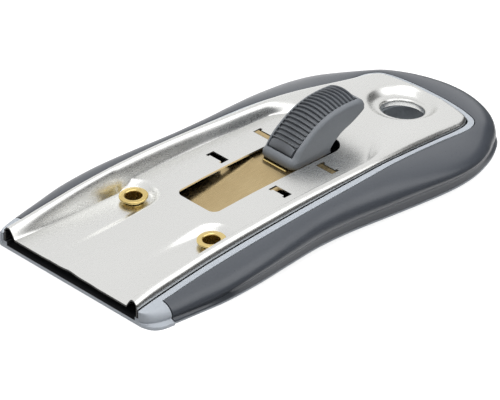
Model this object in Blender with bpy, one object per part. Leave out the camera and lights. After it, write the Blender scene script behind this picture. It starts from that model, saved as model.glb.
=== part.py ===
# Flat scraper with a blade that slides out under a pressed steel plate.
# Everything is laid out in the plate's frame: X across, +Y to the rear, Z up, with the
# front bottom edge at zero. The plate's frame is tilted a little, so that the flat underside
# of the base lies on the world's ground plane.

from math import cos, exp, hypot, pi, radians, sin, sqrt, tan

import bmesh
import bpy
from mathutils import Vector

mm = 0.001

# Whole body, whose width follows the standard blade
tilt = radians(1.5)
blade_half_width = 19.5 * mm
blade_side_room = 5.4 * mm
plate_half_width = blade_half_width + blade_side_room
plate_length = 128.8 * mm
grip_reach = 11.0 * mm
grip_bulge = 2.0 * mm
grip_recess = 0.6 * mm
strip_width = 1.9 * mm
seat_gap = 0.3 * mm
slide_gap = 0.25 * mm
fine_gap = 0.1 * mm
overrun = 2.0 * mm

# Pressed plate
sheet = 0.7 * mm
edge_height = 9.0 * mm
wall_above_strip = 0.5 * mm
wall_below_strip = 1.9 * mm
bead_rise = 2.65 * mm
bead_crest_inset = 1.8 * mm
bead_slope_width = 2.8 * mm
platform_height = 7.4 * mm
valley_height = 4.05 * mm
valley_foot_radius = 4.4 * mm
valley_shoulder_radius = 7.6 * mm
hump_width = 2.2 * mm
hump_height = 0.35 * mm
hump_length = 34.0 * mm
trough_end = 86.0 * mm
sag_length = 18.0 * mm
sag_half_width = 6.0 * mm

# Hanging hole
hole_from_rear = 10.3 * mm
hole_radius = 5.9 * mm
dish_radius = 10.75 * mm
rim_height = 4.4 * mm
rim_width = 0.9 * mm
rim_slope = 0.13
collar_depth = 1.5 * mm

# Window and lock slots
window_half_width = 7.35 * mm
window_front = 43.0 * mm
window_rear = 91.0 * mm
window_front_corner = 2.3 * mm
window_rear_corner = 5.0 * mm
slot_width = 2.0 * mm
slot_inner = 8.9 * mm
slot_outer = 14.9 * mm
front_slot_rear_edge = 63.4 * mm
lock_travel = 16.4 * mm
hook_length = 2.65 * mm
hook_width = 0.9 * mm

# Eyelets and their posts
eyelet_blade_inset = 4.7 * mm
eyelet_across = blade_half_width - eyelet_blade_inset
eyelet_along = 35.15 * mm
eyelet_bore = 2.25 * mm
eyelet_wall = 0.35 * mm
eyelet_flange_radius = 3.875 * mm
eyelet_flange_height = 0.7 * mm
eyelet_stand = 1.05 * mm
eyelet_roll_radius = 3.4 * mm
eyelet_roll_height = 0.4 * mm
washer_radius = 4.6 * mm
washer_height = 0.3 * mm
post_wall = 0.9 * mm
counterbore_roof = 0.45 * mm

# Base
floor_height = 1.0 * mm
foot_height = 0.5 * mm
foot_inset = 0.2 * mm
ledge_width = 1.0 * mm
strip_fall = 0.25 * mm
grip_top_fall = 0.05 * mm
grip_front = 7.4 * mm
rail_width = 1.2 * mm
rail_height = 1.4 * mm
rail_length = 31.0 * mm

# Blade and what carries it
blade_depth = 18.7 * mm
blade_thickness = 0.2 * mm
blade_bevel = 1.7 * mm
blade_setback = 2.5 * mm
spine_depth = 5.3 * mm
spine_sheet = 0.3 * mm
spine_room = 0.12 * mm
tray_thickness = 0.5 * mm
post_way_margin = 2.7 * mm
tail_half_width = 12.0 * mm
tail_length = 26.0 * mm
arm_height = 0.55 * mm
pedestal_height = 0.65 * mm
pedestal_half_width = 8.0 * mm
pedestal_length = 17.5 * mm
clamp_thickness = 0.3 * mm
clamp_length = 13.5 * mm
lip_width = 0.5 * mm
rivet_across = 4.5 * mm
rivet_radius = 1.0 * mm
rivet_head_radius = 1.9 * mm
rivet_head_height = 0.3 * mm

# Leaf spring with its lock ears
leaf_thickness = 0.4 * mm
leaf_half_width = 9.2 * mm
leaf_root_half_width = 8.0 * mm
leaf_root_length = 10.4 * mm
leaf_rise = 3.15 * mm
leaf_ramp_length = 30.2 * mm
leaf_flat_length = 14.8 * mm
ear_depth = 1.5 * mm
ear_wing_depth = 3.2 * mm
ear_below_plate = 0.15 * mm

# Slider
slider_length = 27.4 * mm
slider_height = 12.1 * mm
slider_half_width = 6.0 * mm
slider_ahead_of_ear = 7.2 * mm
slider_edge = 0.9 * mm
pad_half_width = 4.6 * mm
pad_depth = 1.5 * mm
pad_stand = 0.1 * mm
pad_crown = 1.1 * mm
band_length = 2.25 * mm
rib_depth = 0.4 * mm
rib_count = 18
stem_half_width = 3.5 * mm
stem_half_length = 4.3 * mm
stem_below_leaf = 0.15 * mm
retainer_half_width = 5.6 * mm
retainer_half_length = 5.6 * mm
retainer_thickness = 0.8 * mm
screw_radius = 1.0 * mm
screw_head_radius = 2.1 * mm
screw_head_height = 0.65 * mm
screw_length = 5.0 * mm

# Points that the outline follows, front corner to rear middle: plate edge across and along
# as shares of the plate, then the reach of the outer edge beyond it across and along as
# shares of the grip's reach, then the strip as a share of its width. The last two are the
# grip's bulge beyond its foot, and how far down its widest line lies.
outline_shares = (
    (1.018, 0.000, 0.100, 0.000, 0.50, -0.10, 0.60),
    (1.014, 0.009, 0.338, -0.022, 1.00, -0.45, 0.60),
    (1.007, 0.025, 0.502, -0.018, 1.00, -0.62, 0.60),
    (0.998, 0.055, 0.577, 0.000, 1.00, -0.38, 0.60),
    (0.992, 0.124, 0.641, 0.000, 1.00, 0.00, 0.60),
    (0.986, 0.194, 0.686, 0.000, 1.00, 0.36, 0.53),
    (0.978, 0.280, 0.632, 0.045, 1.00, 0.70, 0.47),
    (0.964, 0.373, 0.523, 0.045, 1.00, 0.90, 0.47),
    (0.942, 0.466, 0.450, 0.045, 1.00, 0.98, 0.48),
    (0.918, 0.559, 0.505, 0.000, 1.00, 0.96, 0.50),
    (0.894, 0.652, 0.646, 0.000, 0.92, 0.92, 0.51),
    (0.855, 0.745, 0.820, 0.045, 0.72, 0.90, 0.48),
    (0.807, 0.823, 0.960, 0.090, 0.66, 0.82, 0.46),
    (0.767, 0.885, 0.973, 0.136, 0.70, 0.56, 0.46),
    (0.743, 0.932, 0.827, 0.236, 0.85, 0.12, 0.52),
    (0.719, 0.960, 0.609, 0.464, 1.05, -0.28, 0.63),
    (0.655, 0.980, 0.364, 0.709, 1.20, -0.18, 0.70),
    (0.482, 0.9915, 0.182, 0.900, 1.30, 0.32, 0.68),
    (0.241, 0.9985, 0.091, 0.973, 1.38, 0.66, 0.60),
    (0.000, 1.000, 0.000, 1.000, 1.42, 0.80, 0.57),
)
front_corner_count = 3
side_knot_count = 17

# Heights along the plate, each as a pair: share of the plate's length, share of the height.
edge_height_shares = (
    (0.0, 0.478), (0.062, 0.578), (0.124, 0.700), (0.194, 0.811), (0.272, 0.900),
    (0.349, 0.958), (0.427, 0.988), (0.505, 1.000), (0.582, 1.003), (0.640, 1.000),
    (0.699, 0.975), (0.776, 0.860), (0.854, 0.705), (0.932, 0.560), (1.0, 0.500),
)
bead_rise_shares = (
    (0.0, 0.90), (0.062, 1.05), (0.124, 1.0), (0.194, 1.0), (0.272, 0.967), (0.349, 0.917),
    (0.427, 0.883), (0.505, 0.80), (0.582, 0.68), (0.699, 0.57), (0.776, 0.60),
    (0.854, 0.60), (0.932, 0.56), (1.0, 0.46),
)
platform_shares = (
    (0.0, 0.568), (0.08, 0.576), (0.155, 0.640), (0.272, 0.811), (0.388, 0.932),
    (0.489, 0.986), (0.62, 1.0), (0.70, 1.0), (0.777, 1.01), (0.815, 0.985), (0.85, 0.94),
    (0.92, 0.855), (1.0, 0.78),
)

# Grip's side below its widest line, as three shares at each point: way down to the foot's
# top, bulge that is left there, and depth of the recess above the foot.
grip_skirt_shares = (
    (0.20, 0.80, 0.45), (0.40, 0.55, 1.00), (0.60, 0.30, 1.00), (0.80, 0.10, 0.45), (1.0, 0.0, 0.0),
)
shoulder_steps = 6

# Columns across half of the plate, and rows along it, as shares of width and length.
column_shares = (
    0.0, 0.07, 0.15, 0.25, 0.34, 0.42, 0.50, 0.59, 0.68, 0.75, 0.79, 0.83,
    0.87, 0.905, 0.94, 0.97, 0.988, 1.0,
)
plate_rows = 46
bow_start_share = 0.75
outline_steps = 3

# Slider's side: pad line and body, each as share of length from the front, share of height.
pad_line_shares = (
    (0.053, 0.277), (0.113, 0.413), (0.212, 0.591), (0.358, 0.798), (0.485, 0.913),
    (0.617, 0.979), (0.763, 1.0), (0.912, 0.985),
)
slider_front_shares = ((0.0, 0.0), (0.006, 0.16))
slider_rear_shares = (
    (0.964, 0.921), (0.985, 0.839), (0.989, 0.756), (0.974, 0.665), (0.839, 0.492),
    (0.690, 0.360), (0.599, 0.219), (0.547, 0.103), (0.527, 0.0),
)

# One rib of the pad: shares of its pitch and of its depth. Then the columns of its crown.
rib_shares = ((0.12, 1.0), (0.30, 0.15), (0.62, 0.0), (0.90, 0.2))
crown_column_shares = (-1.0, -0.7, -0.35, 0.0, 0.35, 0.7, 1.0)


def smooth_value(table, share):
    """Reads a table of pairs with a smooth curve through its points."""
    last = len(table) - 1
    if share <= table[0][0]:
        return table[0][1]
    if share >= table[last][0]:
        return table[last][1]
    at = 0
    while table[at + 1][0] < share:
        at += 1
    x0, y0 = table[at]
    x1, y1 = table[at + 1]
    xa, ya = table[max(at - 1, 0)]
    xb, yb = table[min(at + 2, last)]
    span = x1 - x0
    slope0 = (y1 - ya) / (x1 - xa)
    slope1 = (yb - y0) / (xb - x0)
    t = (share - x0) / span
    rise = t * t * (3 - 2 * t)
    bend0 = t * (1 - t) * (1 - t) * span * slope0
    bend1 = t * t * (t - 1) * span * slope1
    return y0 + (y1 - y0) * rise + bend0 + bend1


def ease(value, low, high):
    """Smooth step from 0 at low to 1 at high."""
    t = min(max((value - low) / (high - low), 0.0), 1.0)
    return t * t * (3 - 2 * t)


def curve_through(points, steps):
    """Smooth open curve through the points, with so many steps between neighbours."""
    points = [Vector(point) for point in points]
    result = []
    for at in range(len(points) - 1):
        p1 = points[at]
        p2 = points[at + 1]
        p0 = points[at - 1] if at else p1 * 2 - p2
        p3 = points[at + 2] if at + 2 < len(points) else p2 * 2 - p1
        for step in range(steps):
            t = step / steps
            bend = p0 * 2 - p1 * 5 + p2 * 4 - p3
            twist = p1 * 3 - p0 - p2 * 3 + p3
            result.append((p1 * 2 + (p2 - p0) * t + bend * t * t + twist * t ** 3) / 2)
    result.append(points[-1])
    return result


# Heights of the plate and of the ground below it

def ground(y):
    return -y * tan(tilt)


def edge_level(y):
    return edge_height * smooth_value(edge_height_shares, y / plate_length)


def crest_level(y):
    return edge_level(y) + bead_rise * smooth_value(bead_rise_shares, y / plate_length)


def platform_level(y):
    return platform_height * smooth_value(platform_shares, y / plate_length)


def rim_level(y):
    return rim_height - (y - hole_along()) * rim_slope


def hole_along():
    return plate_length - hole_from_rear


def floor_level(x, y):
    """Platform with its two valleys, their round pockets and the small middle hump."""
    middle = platform_level(y)
    side = abs(x)
    if y <= eyelet_along:
        away = max(eyelet_across - side, 0.0)
    else:
        away = hypot(side - eyelet_across, y - eyelet_along)
    lift = ease(away, valley_foot_radius, valley_shoulder_radius)
    level = min(valley_height, middle) + (middle - min(valley_height, middle)) * lift
    fade = max(1 - y / hump_length, 0.0)
    return level + hump_height * fade * exp(-(side / hump_width) ** 2)


def plate_level(x, y, half_width, inset_rear):
    """Height of the plate's top face, inset_rear being the way to the rear edge."""
    side = abs(x)
    inset = max(min(half_width - side, inset_rear), 0.0)
    edge = edge_level(y) + wall_above_strip
    crest = crest_level(y)
    crest_side = half_width - bead_crest_inset
    foot_side = crest_side - bead_slope_width
    widen = ease(y, trough_end, trough_end + sag_length)
    foot_side += (sag_half_width - foot_side) * widen
    inner = floor_level(x, y)
    level = inner + (crest - inner) * ease(side, foot_side, crest_side)
    round_share = min(inset / bead_crest_inset, 1.0)
    level = edge + (level - edge) * sqrt(max(1 - (1 - round_share) ** 2, 0.0))
    from_hole = hypot(x, y - hole_along())
    dish = 1 - ease(from_hole, hole_radius + rim_width, dish_radius)
    return level + (rim_level(y) - level) * dish


# Outline of the body, from the right front corner round the rear to the left front corner

def outline_knots():
    """Plate edge, reach, strip width, bulge and share of its height, for each point."""
    knots = []
    for across, along, reach_x, reach_y, strip, bulge, equator in outline_shares:
        plate = Vector((across * plate_half_width, along * plate_length))
        reach = Vector((reach_x, reach_y)) * grip_reach
        knots.append((plate, reach, Vector((strip * strip_width, bulge * grip_bulge, equator))))
    return knots


def outline_stations(first_knot=0):
    """Stations of the whole outline: plate point, unit reach, its length, then the rest."""
    knots = outline_knots()
    mirrored = [(Vector((-p.x, p.y)), Vector((-r.x, r.y)), rest) for p, r, rest in knots]
    ring = knots + mirrored[-2::-1]
    plate = curve_through([p for p, r, rest in ring], outline_steps)
    reach = curve_through([r for p, r, rest in ring], outline_steps)
    others = curve_through([rest for p, r, rest in ring], outline_steps)
    stations = []
    for p, r, rest in zip(plate, reach, others):
        stations.append((p, r.normalized(), r.length, *rest))
    skip = first_knot * outline_steps
    return stations[skip:len(stations) - skip]


def body_length():
    """Whole length, to the grip's widest line at the rear."""
    plate, reach, rest = outline_knots()[-1]
    return plate.y + reach.y + rest.y


def half_width_at(y):
    """Half width of the plate at a place along it, up to its rear corner."""
    table = [(p.y, p.x) for p, r, rest in outline_knots()[:side_knot_count]]
    return smooth_value(table, y)


# Making objects

def clear_scene():
    for item in list(bpy.data.objects):
        bpy.data.objects.remove(item, do_unlink=True)


def make_material(name, colour, roughness, metallic=0.0):
    material = bpy.data.materials.new(name)
    material.use_nodes = True
    shader = material.node_tree.nodes["Principled BSDF"]
    shader.inputs["Base Color"].default_value = (*colour, 1.0)
    shader.inputs["Roughness"].default_value = roughness
    shader.inputs["Metallic"].default_value = metallic
    return material


def make_frame(name, parent, place):
    """An empty that carries pieces, at a place given in the plate's frame."""
    frame = bpy.data.objects.new(name, None)
    bpy.context.collection.objects.link(frame)
    frame["place"] = tuple(place)
    frame.location = place
    if parent:
        frame.parent = parent
        frame.location = Vector(place) - Vector(parent["place"])
    return frame


def make_object(name, vertices, faces, material, carrier, smooth_angle=0.0):
    """A mesh object whose points are given in the plate's frame."""
    offset = Vector(carrier["place"])
    mesh = bpy.data.meshes.new(name)
    mesh.from_pydata([Vector(v) - offset for v in vertices], [], faces)
    work = bmesh.new()
    work.from_mesh(mesh)
    bmesh.ops.recalc_face_normals(work, faces=work.faces)
    if work.calc_volume(signed=True) < 0:
        bmesh.ops.reverse_faces(work, faces=work.faces)
    work.to_mesh(mesh)
    work.free()
    if smooth_angle:
        mesh.shade_smooth()
        mesh.set_sharp_from_angle(angle=smooth_angle)
    thing = bpy.data.objects.new(name, mesh)
    bpy.context.collection.objects.link(thing)
    thing.parent = carrier
    if material:
        mesh.materials.append(material)
    return thing


def cut(target, cutter, operation="DIFFERENCE"):
    """Cuts or joins another object with an exact Boolean and hides that object."""
    modifier = target.modifiers.new(cutter.name, "BOOLEAN")
    modifier.operation = operation
    modifier.solver = "EXACT"
    modifier.object = cutter
    cutter.hide_render = True
    cutter.display_type = "WIRE"


def round_edges(target, width):
    modifier = target.modifiers.new("round_edges", "BEVEL")
    modifier.width = width
    modifier.segments = 2
    modifier.limit_method = "ANGLE"
    modifier.angle_limit = radians(40)


def slab_mesh(outline, low, high):
    """Points and faces of an upright slab over a flat outline."""
    count = len(outline)
    points = [(x, y, low) for x, y in outline] + [(x, y, high) for x, y in outline]
    faces = [tuple(range(count)), tuple(range(count, 2 * count))]
    for at in range(count):
        after = (at + 1) % count
        faces.append((at, after, count + after, count + at))
    return points, faces


def make_slab(name, outline, low, high, material, carrier):
    points, faces = slab_mesh(outline, low, high)
    return make_object(name, points, faces, material, carrier)


def make_side_slab(name, outline, half_width, material, carrier, middle=0.0):
    """A slab drawn from the side, as wide as twice half_width."""
    flat, faces = slab_mesh(outline, middle - half_width, middle + half_width)
    points = [(x, y, z) for y, z, x in flat]
    return make_object(name, points, faces, material, carrier)


def rectangle(x0, x1, y0, y1):
    return [(x0, y0), (x1, y0), (x1, y1), (x0, y1)]


def rounded_rectangle(half_width, front, rear, front_corner, rear_corner, steps=6):
    """Closed outline with its two front and two rear corners rounded."""
    corners = (
        (half_width - front_corner, front + front_corner, front_corner, -pi / 2),
        (half_width - rear_corner, rear - rear_corner, rear_corner, 0.0),
        (rear_corner - half_width, rear - rear_corner, rear_corner, pi / 2),
        (front_corner - half_width, front + front_corner, front_corner, pi),
    )
    outline = []
    for x, y, radius, start in corners:
        for step in range(steps + 1):
            angle = start + pi / 2 * step / steps
            outline.append((x + radius * cos(angle), y + radius * sin(angle)))
    return outline


def make_lathe(name, profile, centre, material, carrier, steps=28, slope=0.0):
    """A turned piece: a closed profile of radius and height round an upright axis.

    With a slope the heights fall to the rear, as the rim of the hanging hole does."""
    points = []
    faces = []
    count = len(profile)
    for step in range(steps):
        angle = 2 * pi * step / steps
        for radius, height in profile:
            along = radius * sin(angle)
            points.append((centre[0] + radius * cos(angle), centre[1] + along, height - along * slope))
    for step in range(steps):
        base = step * count
        after = ((step + 1) % steps) * count
        for at in range(count):
            up = (at + 1) % count
            faces.append((base + at, after + at, after + up, base + up))
    return make_object(name, points, faces, material, carrier, smooth_angle=radians(35))


def make_turned(name, line, centre, material, carrier, steps=20):
    """A solid pin turned from an open line of radius and height, flat at both ends."""
    points = []
    faces = []
    for step in range(steps):
        angle = 2 * pi * step / steps
        for radius, height in line:
            points.append((centre[0] + radius * cos(angle), centre[1] + radius * sin(angle), height))
    count = len(line)
    for step in range(steps):
        base = step * count
        after = ((step + 1) % steps) * count
        for at in range(count - 1):
            faces.append((base + at, after + at, after + at + 1, base + at + 1))
    faces.append(tuple(step * count for step in range(steps)))
    faces.append(tuple(step * count + count - 1 for step in range(steps)))
    return make_object(name, points, faces, material, carrier, smooth_angle=radians(35))


def make_disc(name, radius, low, high, centre, material, carrier, steps=36):
    outline = []
    for step in range(steps):
        angle = 2 * pi * (step + 0.5) / steps
        outline.append((centre[0] + radius * cos(angle), centre[1] + radius * sin(angle)))
    return make_slab(name, outline, low, high, material, carrier)


# Base and grip

def grip_section(station):
    """Outer section of the side at a station, from the strip's edge down to the foot."""
    plate, out, reach, strip, bulge, equator = station
    top = edge_level(plate.y) - strip_fall
    low = ground((plate + out * reach).y)
    bottom = low + foot_height + seat_gap
    drop = (top - low) * equator
    shape = []
    for step in range(shoulder_steps + 1):
        angle = pi / 2 * step / shoulder_steps
        shape.append((strip + (reach + bulge - strip) * sin(angle), top - drop * (1 - cos(angle))))
    widest = top - drop
    for down, left, recess in grip_skirt_shares:
        shape.append((reach + bulge * left - grip_recess * recess, widest + (bottom - widest) * down))
    return [(plate.x + out.x * away, plate.y + out.y * away, height) for away, height in shape]


def base_section(station, solid_corner):
    """Section of the base at a station, from its outer bottom edge in to the floor."""
    plate, out, reach, strip = station[:4]
    outer = plate + out * (reach - foot_inset)
    low = ground(outer.y)
    level = edge_level(plate.y)
    section = [(outer.x, outer.y, low), (outer.x, outer.y, low + foot_height)]
    side = grip_section(station)
    if solid_corner:
        section += side[::-1]
    else:
        edge = plate + out * strip
        foot = low + foot_height
        top = side[0][2]
        bottom = side[-1][2]
        for x, y, height in side[::-1]:
            section.append((edge.x, edge.y, foot + (top - foot) * (height - bottom) / (top - bottom)))
    groove = plate + out * seat_gap
    ledge = plate - out * ledge_width
    ledge_height = level - wall_below_strip - seat_gap
    section.append((groove.x, groove.y, level))
    section.append((groove.x, groove.y, ledge_height))
    section.append((ledge.x, ledge.y, ledge_height))
    section.append((ledge.x, ledge.y, floor_height))
    return section


def moved_along(station, distance):
    return (station[0] + Vector((0.0, distance)), *station[1:])


def make_base(material, carrier):
    """Tray with an open front, a ledge for the plate, posts, rails and the hanging hole."""
    stations = outline_stations()
    corner = front_corner_count * outline_steps
    sections = []
    for at, station in enumerate(stations):
        from_front = min(at, len(stations) - 1 - at)
        if from_front != corner:
            sections.append(base_section(station, from_front < corner))
            continue
        solid = base_section(moved_along(station, -fine_gap / 2), True)
        wall = base_section(moved_along(station, fine_gap / 2), False)
        sections += [solid, wall] if at == corner else [wall, solid]
    count = len(sections[0])
    total = len(sections)
    points = [point for section in sections for point in section]
    for at in list(range(count)) + list(range(len(points) - count, len(points))):
        points[at] = (points[at][0], 0.0, points[at][2])
    faces = []
    for at in range(total - 1):
        for step in range(count - 1):
            low = at * count + step
            faces.append((low, low + count, low + count + 1, low + 1))
    last = (total - 1) * count
    faces.append(tuple(at * count for at in range(total)))
    faces.append(tuple(at * count + count - 1 for at in range(total)))
    faces.append(tuple(range(count)) + tuple(range(last + count - 1, last - 1, -1)))
    base = make_object("base_body", points, faces, material, carrier, smooth_angle=radians(30))
    post_radius = eyelet_bore + eyelet_wall + seat_gap + post_wall
    post_top = valley_height - sheet - seat_gap
    sink = floor_height / 2
    for side, word in ((1, "right"), (-1, "left")):
        centre = (side * eyelet_across, eyelet_along)
        post = make_disc("cut_post_" + word, post_radius, sink, post_top, centre, None, carrier)
        cut(base, post, "UNION")
        rail_x = side * (tail_half_width + slide_gap + rail_width / 2)
        rail_y = tray_wide_rear() + seat_gap
        outline = rectangle(rail_x - rail_width / 2, rail_x + rail_width / 2, rail_y, rail_y + rail_length)
        top = floor_height + rail_height
        rail = make_slab("cut_rail_" + word, outline, sink, top, None, carrier)
        cut(base, rail, "UNION")
    for side, word in ((1, "right"), (-1, "left")):
        centre = (side * eyelet_across, eyelet_along)
        bore = eyelet_bore + eyelet_wall + seat_gap
        deep = ground(eyelet_along) - overrun
        drill = make_disc("cut_bore_" + word, bore, deep, post_top + overrun, centre, None, carrier)
        cut(base, drill)
        roof = floor_height - counterbore_roof
        wide = washer_radius + seat_gap
        sinker = make_disc("cut_counterbore_" + word, wide, deep, roof, centre, None, carrier)
        cut(base, sinker)
    centre = (0.0, hole_along())
    deep = ground(plate_length) - overrun
    room = hole_radius + sheet + seat_gap
    hole = make_disc("cut_base_hole", room, deep, rim_height, centre, None, carrier)
    cut(base, hole)
    return base


def make_grip(material, carrier):
    """Soft band round the sides and the rear, standing on the base's foot."""
    stations = outline_stations(front_corner_count)
    sections = []
    for at, station in enumerate(stations):
        if at in (0, len(stations) - 1):
            station = (Vector((station[0].x, grip_front)), *station[1:])
        plate, out, reach, strip = station[:4]
        outer = grip_section(station)
        edge = plate + out * (strip + seat_gap)
        inner = [(edge.x, edge.y, outer[-1][2]), (edge.x, edge.y, outer[0][2] - grip_top_fall)]
        sections.append(outer[1:] + inner)
    count = len(sections[0])
    points = [point for section in sections for point in section]
    faces = []
    for at in range(len(sections) - 1):
        for step in range(count):
            low = at * count + step
            next_low = at * count + (step + 1) % count
            faces.append((low, low + count, next_low + count, next_low))
    faces.append(tuple(range(count)))
    faces.append(tuple(range(len(points) - count, len(points))))
    return make_object("soft_grip", points, faces, material, carrier, smooth_angle=radians(40))


# Plate

def corner_along():
    """Where the plate's side line ends and its rear line begins."""
    return outline_knots()[side_knot_count - 1][0].y


def rear_line(column):
    """Place of the rear edge along the plate, for a column across it."""
    knots = outline_knots()[side_knot_count - 2:]
    table = [(p.x, p.y) for p, r, rest in knots[::-1]]
    return smooth_value(table, abs(column) * half_width_at(corner_along()))


def plate_point(share, column, inset):
    """Place on the plate's grid, drawn in by inset from its edges."""
    y = (corner_along() - inset) * share
    half_width = half_width_at(y + inset * share) - inset
    bow = rear_line(column) - corner_along()
    return half_width * column, y + bow * ease(share, bow_start_share, 1)


def plate_columns():
    return [-share for share in column_shares[:0:-1]] + list(column_shares)


def make_plate(material, carrier):
    """Pressed sheet with a turned-down edge, a window, slots, eyelet holes and the dish."""
    columns = plate_columns()
    wide = len(columns)
    top = []
    under = []
    for row in range(plate_rows + 1):
        share = row / plate_rows
        for column in columns:
            x, y = plate_point(share, column, 0.0)
            half_width = half_width_at(min(y, corner_along()))
            rear = rear_line(column)
            top.append((x, y, plate_level(x, y, half_width, rear - y)))
            inner_x, inner_y = plate_point(share, column, sheet)
            level = plate_level(inner_x, inner_y, half_width, rear - inner_y)
            under.append((inner_x, inner_y, level - sheet))
    border = [row * wide + wide - 1 for row in range(plate_rows + 1)]
    border += [plate_rows * wide + at for at in range(wide - 2, -1, -1)]
    border += [row * wide for row in range(plate_rows - 1, -1, -1)]
    grid = len(top)
    outer_rim = [(top[at][0], top[at][1], edge_level(top[at][1]) - wall_below_strip) for at in border]
    inner_rim = [(under[at][0], under[at][1], edge_level(top[at][1]) - wall_below_strip) for at in border]
    points = top + under + outer_rim + inner_rim
    faces = []
    for row in range(plate_rows):
        for at in range(wide - 1):
            low = row * wide + at
            faces.append((low, low + 1, low + wide + 1, low + wide))
            faces.append((grid + low, grid + low + wide, grid + low + wide + 1, grid + low + 1))
    first = 2 * grid
    second = first + len(border)
    for at in range(len(border) - 1):
        a = border[at]
        b = border[at + 1]
        faces.append((a, b, first + at + 1, first + at))
        faces.append((first + at, first + at + 1, second + at + 1, second + at))
        faces.append((second + at, second + at + 1, grid + b, grid + a))
    end = len(border) - 1
    for at in range(wide - 1):
        faces.append((at, grid + at, grid + at + 1, at + 1))
    faces.append((border[0], first, second, grid + border[0]))
    faces.append((border[end], grid + border[end], second + end, first + end))
    plate = make_object("top_plate", points, faces, material, carrier, smooth_angle=radians(40))
    low = floor_height
    high = crest_level(plate_length / 2) + overrun
    centre = (0.0, hole_along())
    hole = make_disc("cut_plate_hole", hole_radius + sheet / 2, low, high, centre, None, carrier)
    cut(plate, hole)
    collar_low = rim_height - sheet - collar_depth
    collar_top = rim_height - sheet / 2
    ring = [(hole_radius, collar_low), (hole_radius + sheet, collar_low),
            (hole_radius + sheet, collar_top), (hole_radius, collar_top)]
    collar = make_lathe("cut_collar", ring, centre, None, carrier, slope=rim_slope)
    cut(plate, collar, "UNION")
    outline = rounded_rectangle(
        window_half_width, window_front, window_rear, window_front_corner, window_rear_corner)
    window = make_slab("cut_window", outline, low, high, None, carrier)
    cut(plate, window)
    for side, word in ((1, "right"), (-1, "left")):
        for pair, edge, way in (("front", front_slot_rear_edge, -1), ("rear", rear_slot_front_edge(), 1)):
            slot = make_slab("cut_slot_" + pair + "_" + word, slot_outline(side, edge, way),
                             low, high, None, carrier)
            cut(plate, slot)
        centre = (side * eyelet_across, eyelet_along)
        bore = eyelet_bore + eyelet_wall + seat_gap
        drill = make_disc("cut_eyelet_" + word, bore, low, high, centre, None, carrier)
        cut(plate, drill)
    return plate


def rear_slot_front_edge():
    return front_slot_rear_edge - slot_width + lock_travel


def slot_outline(side, edge, way):
    """Slot with a hook at each end; way is the side of the edge on which it opens."""
    near = edge
    far = edge + way * slot_width
    tip = edge + way * hook_length
    inner = side * slot_inner
    outer = side * slot_outer
    inner_hook = side * (slot_inner + hook_width)
    outer_hook = side * (slot_outer - hook_width)
    return [(inner, near), (outer, near), (outer, tip), (outer_hook, tip), (outer_hook, far),
            (inner_hook, far), (inner_hook, tip), (inner, tip)]


def make_eyelet(side, word, material, carrier):
    """Brass eyelet: flange above the valley, thin tube, rolled end in the counterbore."""
    centre = (side * eyelet_across, eyelet_along)
    bore = eyelet_bore
    tube = eyelet_bore + eyelet_wall
    flange_low = valley_height + eyelet_stand
    flange_top = flange_low + eyelet_flange_height
    chamfer = eyelet_flange_height / 2
    roof = floor_height - counterbore_roof
    roll_top = roof - washer_height - 2 * slide_gap
    roll_low = roll_top - eyelet_roll_height
    profile = [
        (bore, roll_low), (eyelet_roll_radius, roll_low), (eyelet_roll_radius, roll_top),
        (tube, roll_top), (tube, flange_low), (eyelet_flange_radius - chamfer / 2, flange_low),
        (eyelet_flange_radius, flange_low + chamfer / 2), (eyelet_flange_radius, flange_top - chamfer),
        (eyelet_flange_radius - chamfer, flange_top), (tube + chamfer / 2, flange_top),
        (bore, flange_top - chamfer),
    ]
    make_lathe(word + "_eyelet", profile, centre, material, carrier)
    high = roof - slide_gap
    inner = tube + seat_gap
    ring = [(inner, high - washer_height), (washer_radius, high - washer_height),
            (washer_radius, high), (inner, high)]
    make_lathe(word + "_eyelet_washer", ring, centre, material, carrier)


# Blade and carriage

def spine_rear():
    return blade_setback + blade_depth + spine_room + spine_sheet


def tray_front():
    """Where the tray's cross bar starts, just behind the blade's back."""
    return spine_rear() + slide_gap


def post_way_half_width():
    """Half width of the tray's slots, in which the eyelets' posts stand."""
    return eyelet_bore + eyelet_wall + seat_gap + post_wall + seat_gap


def tray_wide_rear():
    """Where the tray's wide part ends, behind the slots for the posts."""
    return eyelet_along + lock_travel + post_way_half_width() + post_way_margin


def tray_half_width():
    """Half width of the tray, clear of the base's ledge where the wide part ends."""
    return half_width_at(tray_wide_rear()) - ledge_width - 2 * slide_gap


def tray_low():
    return floor_height + slide_gap


def tray_top():
    return tray_low() + tray_thickness


def spine_low():
    return tray_low() + slide_gap


def blade_low():
    return spine_low() + spine_sheet + spine_room


def pedestal_top():
    return tray_top() + pedestal_height


def make_blade(steel, spine_steel, carrier):
    """Single-edge blade in its folded back."""
    low = blade_low()
    high = low + blade_thickness
    middle = (low + high) / 2
    front = blade_setback
    rear = front + blade_depth
    outline = [(front, middle), (front + blade_bevel, low), (rear, low), (rear, high),
               (front + blade_bevel, high)]
    make_side_slab("razor_blade", outline, blade_half_width, steel, carrier)
    bottom = spine_low()
    top = high + spine_room + spine_sheet
    back = spine_rear()
    mouth = back - spine_depth
    inner = back - spine_sheet
    fold = [(mouth, bottom), (back, bottom), (back, top), (mouth, top),
            (mouth, top - spine_sheet), (inner, top - spine_sheet),
            (inner, bottom + spine_sheet), (mouth, bottom + spine_sheet)]
    make_side_slab("blade_spine", fold, blade_half_width - spine_room, spine_steel, carrier)


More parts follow.
